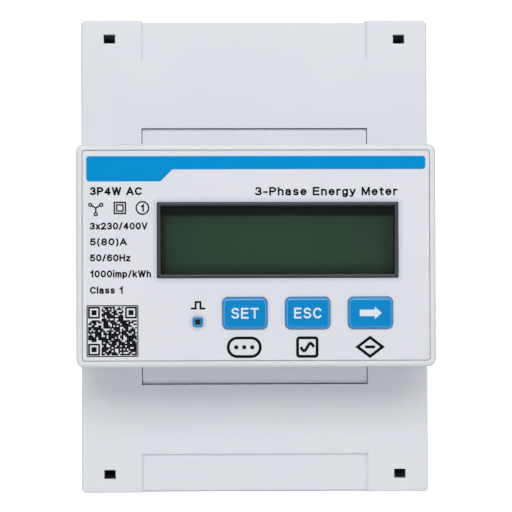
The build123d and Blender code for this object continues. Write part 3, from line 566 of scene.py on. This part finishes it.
def outward(path, closed):
    """Unit normals to the right of a path, lengthened at corners so that an offset keeps its distance."""
    if closed:
        before, after = path - np.roll(path, 1, axis=0), np.roll(path, -1, axis=0) - path
    else:
        step = np.diff(path, axis=0)
        before, after = np.vstack([step[:1], step]), np.vstack([step, step[-1:]])
    total = np.zeros_like(path)
    for step in (before, after):
        total += np.stack([step[:, 1], -step[:, 0]], axis=1) / np.linalg.norm(step, axis=1, keepdims=True)
    return 2 * total / (total**2).sum(axis=1, keepdims=True)


def heap(rings, closed=False):
    """Rings of points, one after another, joined into a closed skin: the last ring meets the first, or both
    get a flat face."""
    rings = np.asarray(rings)
    rows, columns = rings.shape[:2]
    faces = [tuple(quad) for quad in grid_quads(rows, columns, closed, True)]
    if not closed:
        faces += [tuple(range(columns))[::-1], tuple(range((rows - 1) * columns, rows * columns))]
    return rings.reshape(-1, 3), faces


def carried(path, profile, centre=(0.0, 0.0), closed=True):
    """A profile of (offset, front) points carried along a path: point = path + offset * normal. A closed
    path gives a ring, an open one gets a flat end at both ends."""
    path = np.asarray(path, float)
    profile = np.asarray(profile, float)
    side = outward(path, closed)
    flat = path[:, None, :] + side[:, None, :] * profile[None, :, 0, None]
    front = np.broadcast_to(profile[None, :, 1], flat.shape[:2])
    return heap(to_world(flat[..., 0] + centre[0], front, flat[..., 1] + centre[1]), closed)


def stroke(path, width, front, centre=(0.0, 0.0), closed=False):
    """A printed line: a thin rectangle carried along a path on a surface."""
    half, back, face = width / 2, front - INK_SUNK, front + INK_PROUD
    return carried(path, [(-half, back), (half, back), (half, face), (-half, face)], centre, closed)


def level_ring(outline, front, centre=(0.0, 0.0)):
    """An outline of the front view as points at one front distance."""
    outline = np.asarray(outline, float)
    return to_world(outline[:, 0] + centre[0], np.full(len(outline), front), outline[:, 1] + centre[1])


def patch(outline, front, centre=(0.0, 0.0)):
    """A printed area: an outline as a thin plate on a surface."""
    return heap([level_ring(outline, depth, centre) for depth in (front - INK_SUNK, front + INK_PROUD)])


# ---------------------------------------------------------------------------------------------------------
# Lettering
# ---------------------------------------------------------------------------------------------------------


def bow(x, z, across, up, start, end, steps=9):
    """Points along an ellipse, centre + (across * cos a, up * sin a), between two angles in degrees."""
    angle = np.radians(np.linspace(start, end, steps))
    return [(x + across * math.cos(a), z + up * math.sin(a)) for a in angle]


def glyphs():
    """Each character as its width and its strokes, in capital heights. A stroke that ends where it starts
    is a loop."""
    stem, lower_stem = [(0, 0), (0, 1)], [(0, 0), (0, 0.72)]
    arch = bow(0.22, 0.48, 0.22, 0.24, 150, 0, 7) + [(0.44, 0)]
    return {
        "0": (0.56, [bow(0.28, 0.5, 0.28, 0.5, 0, 360, 17)]),
        "1": (0.34, [[(0.06, 0.74), (0.3, 1), (0.3, 0)]]),
        "2": (0.56, [bow(0.28, 0.72, 0.26, 0.28, 165, -30) + [(0.03, 0)], [(0, 0), (0.56, 0)]]),
        "3": (0.54, [bow(0.27, 0.74, 0.24, 0.26, 155, -80), bow(0.27, 0.26, 0.27, 0.26, 80, -155)]),
        "4": (0.58, [[(0.42, 0), (0.42, 0.96)], [(0.4, 0.96), (0.03, 0.3)], [(0.03, 0.28), (0.55, 0.28)]]),
        "5": (0.56, [[(0.5, 1), (0.1, 1), (0.06, 0.54)] + bow(0.28, 0.32, 0.28, 0.33, 130, -150)]),
        "6": (0.56, [bow(0.28, 0.3, 0.28, 0.31, 0, 360, 15), bow(0.32, 0.5, 0.31, 0.5, 50, 200, 7)]),
        "7": (0.54, [[(0, 1), (0.52, 1)], [(0.5, 0.98), (0.18, 0)]]),
        "8": (0.56, [bow(0.28, 0.75, 0.23, 0.25, 0, 360, 13), bow(0.28, 0.25, 0.28, 0.26, 0, 360, 13)]),
        "9": (0.56, [bow(0.28, 0.7, 0.28, 0.31, 0, 360, 15), bow(0.24, 0.5, 0.31, 0.5, 20, -130, 7)]),
        "A": (0.7, [[(0, 0), (0.34, 1)], [(0.36, 1), (0.7, 0)], [(0.18, 0.3), (0.52, 0.3)]]),
        "C": (0.66, [bow(0.36, 0.5, 0.36, 0.5, 42, 318, 13)]),
        "E": (0.54, [[(0.53, 1), (0, 1), (0, 0), (0.54, 0)], [(0.05, 0.53), (0.48, 0.53)]]),
        "H": (0.6, [stem, [(0.6, 0), (0.6, 1)], [(0.05, 0.53), (0.55, 0.53)]]),
        "M": (
            0.7,
            [stem, [(0.02, 0.98), (0.35, 0.08)], [(0.35, 0.08), (0.68, 0.98)], [(0.7, 1), (0.7, 0)]],
        ),
        "P": (
            0.56,
            [[(0, 0), (0, 1), (0.3, 1)] + bow(0.3, 0.73, 0.26, 0.27, 80, -80, 7) + [(0.3, 0.46), (0, 0.46)]],
        ),
        "S": (0.58, [bow(0.3, 0.75, 0.27, 0.25, 25, 262) + bow(0.29, 0.26, 0.29, 0.26, 70, -155)]),
        "T": (0.6, [[(0, 1), (0.6, 1)], [(0.3, 0.95), (0.3, 0)]]),
        "V": (0.64, [[(0, 1), (0.31, 0)], [(0.33, 0), (0.64, 1)]]),
        "W": (
            0.92,
            [[(0, 1), (0.22, 0)], [(0.24, 0), (0.45, 1)], [(0.47, 1), (0.68, 0)], [(0.7, 0), (0.92, 1)]],
        ),
        "a": (
            0.48,
            [
                bow(0.22, 0.5, 0.21, 0.22, 155, 0, 7) + [(0.43, 0)],
                [(0.4, 0.42)] + bow(0.2, 0.2, 0.2, 0.2, 100, 330),
            ],
        ),
        "e": (0.5, [[(0.03, 0.38)] + bow(0.25, 0.36, 0.24, 0.36, 3, 315, 13)]),
        "g": (
            0.46,
            [
                bow(0.23, 0.37, 0.23, 0.35, 0, 360, 13),
                [(0.46, 0.72)] + bow(0.23, -0.05, 0.23, 0.23, 0, -150, 7),
            ],
        ),
        "h": (0.44, [stem, arch]),
        "i": (0.0, [[(0, 0), (0, 0.66)], [(0, 1.08), (0, 1.1)]]),
        "k": (0.44, [stem, [(0.4, 0.72), (0.05, 0.33)], [(0.16, 0.42), (0.44, 0)]]),
        "l": (0.0, [stem]),
        "m": (
            0.7,
            [lower_stem] + [bow(x, 0.5, 0.17, 0.22, 155, 0, 6) + [(x + 0.17, 0)] for x in (0.18, 0.53)],
        ),
        "n": (0.44, [lower_stem, arch]),
        "p": (0.48, [[(0, -0.28), (0, 0.72)], bow(0.24, 0.36, 0.24, 0.36, 0, 360, 13)]),
        "r": (0.26, [lower_stem, bow(0.24, 0.46, 0.24, 0.26, 150, 80, 5)]),
        "s": (0.44, [bow(0.22, 0.54, 0.19, 0.18, 30, 258, 8) + bow(0.22, 0.18, 0.21, 0.18, 70, -150, 8)]),
        "t": (
            0.28,
            [
                [(0.12, 0.92), (0.12, 0.14)] + bow(0.25, 0.14, 0.13, 0.14, 190, 275, 5),
                [(0, 0.7), (0.28, 0.7)],
            ],
        ),
        "x": (0.42, [[(0, 0), (0.42, 0.72)], [(0, 0.72), (0.42, 0)]]),
        "y": (0.46, [[(0, 0.72), (0.23, 0.02)], [(0.46, 0.72), (0.19, -0.16), (0.02, -0.24)]]),
        "z": (0.44, [[(0.02, 0.7), (0.42, 0.7)], [(0.4, 0.68), (0.04, 0.02)], [(0, 0), (0.44, 0)]]),
        "(": (0.16, [bow(0.35, 0.4, 0.35, 0.78, 128, 232)]),
        ")": (0.16, [bow(-0.19, 0.4, 0.35, 0.78, 52, -52)]),
        "/": (0.32, [[(0, -0.04), (0.32, 1.04)]]),
        "-": (0.3, [[(0, 0.38), (0.3, 0.38)]]),
        " ": (0.14, []),
    }


GLYPHS = glyphs()
LETTER_SPACE = 0.34  # in capital heights


def lettering(text, x, base_z, capital, line, front=LABEL_FRONT, width=None, centred=False):
    """Text as strokes of one line width, its capitals a given height, stretched to a width if one is given.
    Open ends reach half a line further."""
    scale = capital - line
    natural = sum(GLYPHS[letter][0] + LETTER_SPACE for letter in text) - LETTER_SPACE
    stretch = (width - line) / natural if width else scale
    pen = x - natural * stretch / 2 if centred else x + line / 2
    solids = []
    for letter in text:
        advance, paths = GLYPHS[letter]
        for path in paths:
            path = np.array(path) * (stretch, scale) + (pen, base_z + line / 2)
            closed = bool(np.allclose(path[0], path[-1]))
            if closed:
                path = path[:-1]
            else:
                for end, neighbour in ((0, 1), (-1, -2)):
                    step = path[end] - path[neighbour]
                    path[end] += step / np.linalg.norm(step) * line / 2
            solids.append(stroke(path, line, front, closed=closed))
        pen += (advance + LETTER_SPACE) * stretch
    return join_solids(solids)


# ---------------------------------------------------------------------------------------------------------
# Prints on the label
# ---------------------------------------------------------------------------------------------------------

STRIPE_LEFT, STRIPE_RIGHT = -33.9, 33.9
STRIPE_TOP, STRIPE_BOTTOM, STRIPE_FOOT = 19.85, 17.2, 14.8
STRIPE_STEP = -16.7
STRIPE_RADIUS = 0.6
COLUMN_X = -33.2  # left edge of the printed column
TITLE_X, TITLE_WIDTH = -0.25, 28.5
RATING_ROWS = [  # text, height of its base line and width
    ("3x230/400V", 5.2, 11.5),
    ("5(80)A", 2.05, 7.4),
    ("50/60Hz", -1.15, 8.1),
    ("1000imp/kWh", -4.35, 12.2),
    ("Class 1", -7.6, 6.6),
]
RATING_CAPITAL = 1.4
RATING_LINE = 0.295
CODE_CENTRE = (-28.7, -15.05)
CODE_SIZE = 10.3
CODE_CELLS = 29
CODE_MARGIN = 0.3
CODE_BORDER = 0.2
CODE_DENSITY = 0.74  # share of the cells that are dark
CELL_FILL = 0.985  # share of a cell's side that its ink covers
FINDER_CELLS = 7


def make_stripe():
    """Blue stripe: a lower edge that drops by a 45 degree step at the left and an upper straight edge, with
    rounded outer corners."""
    quarter = np.linspace(0.0, math.pi / 2, 6)
    corner = STRIPE_RADIUS * np.stack([np.cos(quarter), np.sin(quarter)], axis=1)
    left, right = STRIPE_LEFT + STRIPE_RADIUS, STRIPE_RIGHT - STRIPE_RADIUS
    top_right = corner + (right, STRIPE_TOP - STRIPE_RADIUS)
    top_left = corner[::-1] * (-1, 1) + (left, STRIPE_TOP - STRIPE_RADIUS)
    low_left = corner * (-1, -1) + (left, STRIPE_FOOT + STRIPE_RADIUS)
    low_right = corner[::-1] * (1, -1) + (right, STRIPE_BOTTOM + STRIPE_RADIUS)
    step = [(STRIPE_STEP - (STRIPE_BOTTOM - STRIPE_FOOT), STRIPE_FOOT), (STRIPE_STEP, STRIPE_BOTTOM)]
    outline = np.vstack([top_right, top_left, low_left, step, low_right])
    add_piece("label_stripe", patch(outline, LABEL_FRONT), "printed_label", "base", ink=BLUE_INK)


def make_lettering():
    """The title, the wiring type and the column of ratings."""
    title = lettering("3-Phase Energy Meter", TITLE_X, 11.95, 1.7, 0.34, width=TITLE_WIDTH)
    wiring = lettering("3P4W AC", COLUMN_X, 12.05, 1.62, 0.35, width=10.4)
    ratings = [
        lettering(text, COLUMN_X, base, RATING_CAPITAL, RATING_LINE, width=width)
        for text, base, width in RATING_ROWS
    ]
    add_print("label_title", [title])
    add_print("label_wiring_type", [wiring])
    add_print("label_ratings", ratings)


def make_symbols():
    """Three technical symbols in a row: a star of three strokes, a square in a square, a ringed figure."""
    row_z, size, line = 9.5, 2.5, 0.28
    star, square, ring = ((x, row_z) for x in (-32.0, -27.2, -22.7))
    solids = []
    for angle in np.radians([-90.0, 30.0, 150.0]):
        arm = np.array((math.cos(angle), math.sin(angle))) * size / 2
        solids.append(stroke([(0.0, 0.0), arm * 0.75], line, LABEL_FRONT, star))
        solids.append(stroke(circle(0.3, 16), 0.26, LABEL_FRONT, arm + star, closed=True))
    for side in (size - line, size * 0.5):
        outline = rounded_rectangle(side, side, 0.05, steps=1)
        solids.append(stroke(outline, line, LABEL_FRONT, square, closed=True))
    solids.append(stroke(circle(size / 2), line, LABEL_FRONT, ring, closed=True))
    solids.append(lettering("1", ring[0], row_z - 0.72, 1.44, 0.3, centred=True))
    add_print("label_symbols", solids)


def make_pulse_sign():
    """One square pulse beside the lamp."""
    left, right, low, high = -13.1, -10.2, -10.6, -9.3
    rise, fall = left + (right - left) / 3, right - (right - left) / 3
    path = [(left, low), (rise, low), (rise, high), (fall, high), (fall, low), (right, low)]
    add_print("label_pulse_sign", [stroke(path, 0.38, LABEL_FRONT)])


def make_code_block():
    """A square of random cells with three finder squares, inside a thin border. It says nothing."""
    cell = (CODE_SIZE - 2 * CODE_MARGIN) / CODE_CELLS
    dark = np.random.default_rng(7).random((CODE_CELLS, CODE_CELLS)) < CODE_DENSITY
    start, end = slice(0, FINDER_CELLS + 1), slice(-FINDER_CELLS - 1, None)
    for rows, columns in ((start, start), (start, end), (end, start)):
        dark[rows, columns] = False
    row, column = np.nonzero(dark)
    x = CODE_CENTRE[0] + (column - (CODE_CELLS - 1) / 2) * cell
    z = CODE_CENTRE[1] - (row - (CODE_CELLS - 1) / 2) * cell
    square = np.array([(0.5, 0.5), (-0.5, 0.5), (-0.5, -0.5), (0.5, -0.5)]) * cell * CELL_FILL
    solids = [patch(square, LABEL_FRONT, centre) for centre in zip(x, z)]
    reach = (CODE_CELLS - FINDER_CELLS) / 2 * cell
    side = (FINDER_CELLS - 1) * cell
    for dx, dz in ((-reach, reach), (reach, reach), (-reach, -reach)):
        centre = (CODE_CENTRE[0] + dx, CODE_CENTRE[1] + dz)
        ring = rounded_rectangle(side, side, 0.03, steps=1)
        solids.append(stroke(ring, cell, LABEL_FRONT, centre, closed=True))
        solids.append(patch(square * 3, LABEL_FRONT, centre))
    border = rounded_rectangle(CODE_SIZE - CODE_BORDER, CODE_SIZE - CODE_BORDER, 0.1, steps=1)
    solids.append(stroke(border, CODE_BORDER, LABEL_FRONT, CODE_CENTRE, closed=True))
    add_print("label_code_block", solids)


def make_test_marks():
    """Three plain signs under the keys: a capsule with three dots, a square with a wave and a diamond with
    a bar. The wave is z = a * sin(x)."""
    line, row_z = 0.56, -18.35
    capsule, square, diamond = ((x, row_z) for x in (-2.45, 10.15, 22.7))
    along = np.linspace(-1.3, 1.3, 25)
    wave = np.stack([along, 0.75 * np.sin(along / 1.3 * math.pi)], axis=1)
    outlines = [
        (rounded_rectangle(6.4, 3.7, 1.8, steps=8), capsule),
        (rounded_rectangle(3.9, 3.7, 0.4, steps=4), square),
        ([(2.5, 0.0), (0.0, 1.9), (-2.5, 0.0), (0.0, -1.9)], diamond),
    ]
    solids = [stroke(outline, line, LABEL_FRONT, centre, closed=True) for outline, centre in outlines]
    solids += [patch(circle(0.42, 16), LABEL_FRONT, (capsule[0] + dx, row_z)) for dx in (-1.6, 0.0, 1.6)]
    solids.append(stroke(wave, line, LABEL_FRONT, square))
    solids.append(stroke([(-1.0, 0.0), (1.0, 0.0)], line, LABEL_FRONT, diamond))
    add_print("label_test_marks", solids)


# ---------------------------------------------------------------------------------------------------------
# Display frame, keys and lamp
# ---------------------------------------------------------------------------------------------------------


def make_display_frame():
    """The slate frame: a rim section carried round a rounded rectangle, with softly broken edges and the
    flange that holds it behind the case's front wall."""
    back, top = bezel_low[1], bezel_high[1]
    flange_top = back + 1.7
    edge = 0.14
    section = [
        (0.0, flange_top),
        (0.0, top - edge),
        (-edge * 0.3, top - edge * 0.3),
        (-edge, top),
        (edge - BEZEL_RIM, top),
        (edge * 0.3 - BEZEL_RIM, top - edge * 0.3),
        (-BEZEL_RIM, top - edge),
        (-BEZEL_RIM, back),
        (BEZEL_FLANGE, back),
        (BEZEL_FLANGE, flange_top),
    ]
    path = rounded_rectangle(BEZEL_WIDTH, BEZEL_HEIGHT, 0.8)
    solid = carried(path, section, (DISPLAY_X, DISPLAY_Z))
    add_piece("display_frame", solid, "slate_frame", "base", replaced=["display_bezel"], sharp=28.0)


KEY_FLANGE = 0.8
KEY_FLANGE_THICKNESS = 1.0
KEY_FLANGE_FRONT = 3.45  # from the stem's back end to the front of the flange
KEY_STEM_RADIUS = 2.3
KEY_RADIUS = 1.1
KEY_EDGE = 0.6
KEY_CROWN = 0.16


class Key:
    """Where one key is, and its crown: a cushion, (1 - u^2)(1 - v^2) times its middle height."""

    def __init__(self, name):
        self.low, self.high = node_box(f"{name}_button")
        self.centre = middle(f"{name}_button")
        self.width = self.high[0] - self.low[0] - 2 * KEY_FLANGE
        self.height = self.high[2] - self.low[2] - 2 * KEY_FLANGE
        self.top = self.high[1] - KEY_CROWN

    def crown(self, x, z):
        """Height of the crown at a place in the front view."""
        u = (x - self.centre[0]) / (self.width / 2)
        v = (z - self.centre[1]) / (self.height / 2)
        return KEY_CROWN * (1 - u**2) * (1 - v**2)

    def ring(self, grow, radius, front, lift=0.0):
        """The key's outline grown by a length, at a front distance, lifted by a share of the crown."""
        outline = rounded_rectangle(self.width + 2 * grow, self.height + 2 * grow, radius)
        x, z = outline[:, 0] + self.centre[0], outline[:, 1] + self.centre[1]
        return to_world(x, front + lift * self.crown(x, z), z)


def make_key(name):
    """A key: rings of a rounded rectangle, drawn in along a quarter circle at the edge and then across the
    crown, on a skirt with a flange and a stem."""
    key = Key(name)
    back = key.low[1]
    flange_front = back + KEY_FLANGE_FRONT
    flange_back = flange_front - KEY_FLANGE_THICKNESS
    stem = circle(KEY_STEM_RADIUS, 28)  # as many points as a rounded rectangle's outline
    rings = [level_ring(stem, front, key.centre) for front in (back, flange_back)]
    rings += [key.ring(KEY_FLANGE, KEY_RADIUS, front) for front in (flange_back, flange_front)]
    rings += [key.ring(0.0, KEY_RADIUS, flange_front)]
    for angle in np.linspace(0.0, math.pi / 2, 8):
        inset = KEY_EDGE * (1 - math.cos(angle))
        front = key.top - KEY_EDGE * (1 - math.sin(angle))
        rings.append(key.ring(-inset, KEY_RADIUS - inset * 0.8, front, inset / KEY_EDGE))
    for inset in np.linspace(KEY_EDGE, key.height / 2 - 0.2, 9)[1:]:
        rings.append(key.ring(-inset, max(KEY_RADIUS - inset * 0.8, 0.15), key.top, 1.0))
    add_piece(f"{name}_key_cap", heap(rings), "blue_key_plastic", f"{name}_key", replaced=[f"{name}_button"])
    return key


def make_keys():
    """The three keys and their printed legends, which follow the crown."""
    arrow = [(-2.2, -0.65), (0.8, -0.65), (0.8, -1.25), (2.2, 0.0), (0.8, 1.25), (0.8, 0.65), (-2.2, 0.65)]
    for name in ("set", "esc", "next"):
        key = make_key(name)
        x, z = key.centre
        if name == "next":
            points, faces = patch(arrow, key.top, key.centre)
        else:
            points, faces = lettering(name.upper(), x, z - 1.08, 2.16, 0.35, key.top, width=5.5, centred=True)
        points[:, 1] -= key.crown(points[:, 0] / MM, points[:, 2] / MM) * MM
        add_piece(f"{name}_key_legend", (points, faces), "blue_key_plastic", f"{name}_key", ink=LEGEND_INK)


def make_lamp_ring():
    """The lamp's blue ring: a rounded section carried round a rounded square."""
    low, high = node_box("lamp_ring")
    back, top = low[1], high[1]
    flange_top = back + 0.45
    section = [
        (0.0, flange_top),
        (0.0, top - 0.18),
        (-0.06, top - 0.05),
        (-0.18, top),
        (-0.36, top - 0.02),
        (-0.46, top - 0.1),
        (-0.5, top - 0.22),
        (-0.5, back),
        (0.6, back),
        (0.6, flange_top),
    ]
    solid = carried(rounded_rectangle(2.0, 2.0, 0.62), section, (LAMP_X, LAMP_Z))
    add_piece("pulse_lamp_ring", solid, "blue_key_plastic", "base", replaced=["lamp_ring"])


# ---------------------------------------------------------------------------------------------------------
# Rail clip's spring
# ---------------------------------------------------------------------------------------------------------


def make_clip_spring():
    """A compression spring: a circle carried along a helix whose first and last half turns lie flat. Between
    them its height is the length times 0.88 t + 0.12 (1 - cos pi t) / 2, with t from 0 to 1."""
    low, high = node_box("clip_spring")
    wire = 0.35
    radius = (high[0] - low[0]) / 2 - wire
    centre_x, centre_f = (low[0] + high[0]) / 2, (low[1] + high[1]) / 2
    bottom, top = low[2] + wire, high[2] - wire
    turns = 9.0
    s = np.linspace(0.0, 1.0, 289)
    flat = 1.0 / turns
    t = np.clip((s - flat / 2) / (1 - flat), 0.0, 1.0)
    rise = bottom + (top - bottom) * (0.5 - 0.5 * np.cos(math.pi * t)) * 0.12 + (top - bottom) * t * 0.88
    angle = 2 * math.pi * turns * s
    line = np.stack([centre_x + radius * np.cos(angle), centre_f + radius * np.sin(angle), rise], axis=1)
    along = np.gradient(line, axis=0)
    along /= np.linalg.norm(along, axis=1, keepdims=True)
    out = np.stack([np.cos(angle), np.sin(angle), np.zeros_like(angle)], axis=1)
    up = np.cross(along, out)
    section = circle(wire, 12)
    ring = line[:, None, :]
    ring = ring + section[None, :, 0, None] * out[:, None, :] + section[None, :, 1, None] * up[:, None, :]
    solid = heap(to_world(ring[..., 0], ring[..., 1], ring[..., 2]))
    piece = add_piece("clip_coil_spring", solid, "spring_steel", "base", replaced=["clip_spring"])
    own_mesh(piece)


# ---------------------------------------------------------------------------------------------------------
# Terminal numbers, printed on the blocks beside each screw
# ---------------------------------------------------------------------------------------------------------

PLATE_THICKNESS = 3.6
NUMBER_OFFSET = 5.7  # from a screw's axis to the middle of its number
NUMBER_CAPITAL = 1.7


def make_terminal_numbers():
    """Numbers printed on the terminal plates, outside each screw."""
    screws = [("phase_1", "1", "3"), ("phase_2", "4", "6"), ("phase_3", "7", "9"), ("neutral", "10", "12")]
    for row, way in (("lower", -1), ("upper", 1)):
        front = node_box(f"{row}_terminal_plate")[0][1] + PLATE_THICKNESS
        solids = []
        for name, *numbers in screws:
            x, z = middle(f"{row}_screw_{name}")
            base = z + way * NUMBER_OFFSET - 0.8
            number = numbers[1] if way > 0 else numbers[0]
            solids.append(lettering(number, x, base, NUMBER_CAPITAL, 0.3, front, centred=True))
        solid = join_solids(solids)
        add_piece(f"{row}_terminal_numbers", solid, "light_grey_terminal_block", "base", ink=DARK_INK)


# ---------------------------------------------------------------------------------------------------------
# Stage
# ---------------------------------------------------------------------------------------------------------


def make_stage():
    """A floor that turns up into a wall behind the meter along a quarter circle, as one sheet of seamless
    paper."""
    floor_z, bend, half = -0.5, 0.3, 2.5
    quarter = np.linspace(0.0, math.pi / 2, 24)
    y = np.concatenate([[-2.0], WALL_Y - bend + bend * np.sin(quarter), [WALL_Y]])
    z = np.concatenate([[floor_z], floor_z + bend - bend * np.cos(quarter), [2.0]])
    x = np.array([-half, half])
    points = np.stack(np.broadcast_arrays(x[None, :], y[:, None], z[:, None]), axis=-1).reshape(-1, 3)
    quads = grid_quads(len(y), 2, False, False)
    mesh = bpy.data.meshes.new("seamless_paper")
    mesh.from_pydata(points.tolist(), [], quads.tolist())
    mesh.shade_smooth()
    mesh.materials.append(studio_paper())
    paper = bpy.data.objects.new("seamless_paper", mesh)
    bpy.context.collection.objects.link(paper)


def make_light():
    """A room that is bright above and dark at eye level, and softboxes above the front and at the sides."""
    world = bpy.data.worlds.new("studio")
    bpy.context.scene.world = world
    world.use_nodes = True
    tree = world.node_tree
    tree.nodes.clear()
    way = add_node(tree, "TexCoord").outputs["Generated"]
    height = add_node(tree, "SeparateXYZ", {"Vector": way}).outputs["Z"]
    links = {"Value": height, "From Min": 0.15, "From Max": 0.6}
    rise = add_node(tree, "MapRange", links, interpolation_type="SMOOTHSTEP").outputs[0]
    links = {FACTOR: rise, FIRST: (0.06, 0.06, 0.065, 1.0), SECOND: (0.55, 0.56, 0.58, 1.0)}
    sky = add_node(tree, "Mix", links, data_type="RGBA").outputs[MIXED]
    background = add_node(tree, "Background", {"Color": sky, "Strength": 1.0})
    output = add_node(tree, "OutputWorld")
    tree.links.new(background.outputs[0], output.inputs[0])
    add_softbox("top_softbox", (0.0, -0.85, 0.5), 1.0, 0.4, 4.2)
    add_softbox("left_softbox", (-0.9, -0.75, 0.05), 0.5, 0.8, 2.7)
    add_softbox("right_softbox", (0.9, -0.75, 0.05), 0.5, 0.8, 2.5)


bpy.context.scene.view_settings.view_transform = "Standard"
make_camera()
make_stage()
make_light()
paint_nodes()
make_stripe()
make_lettering()
make_symbols()
make_pulse_sign()
make_code_block()
make_test_marks()
make_display_frame()
make_keys()
make_lamp_ring()
make_clip_spring()
make_terminal_numbers()
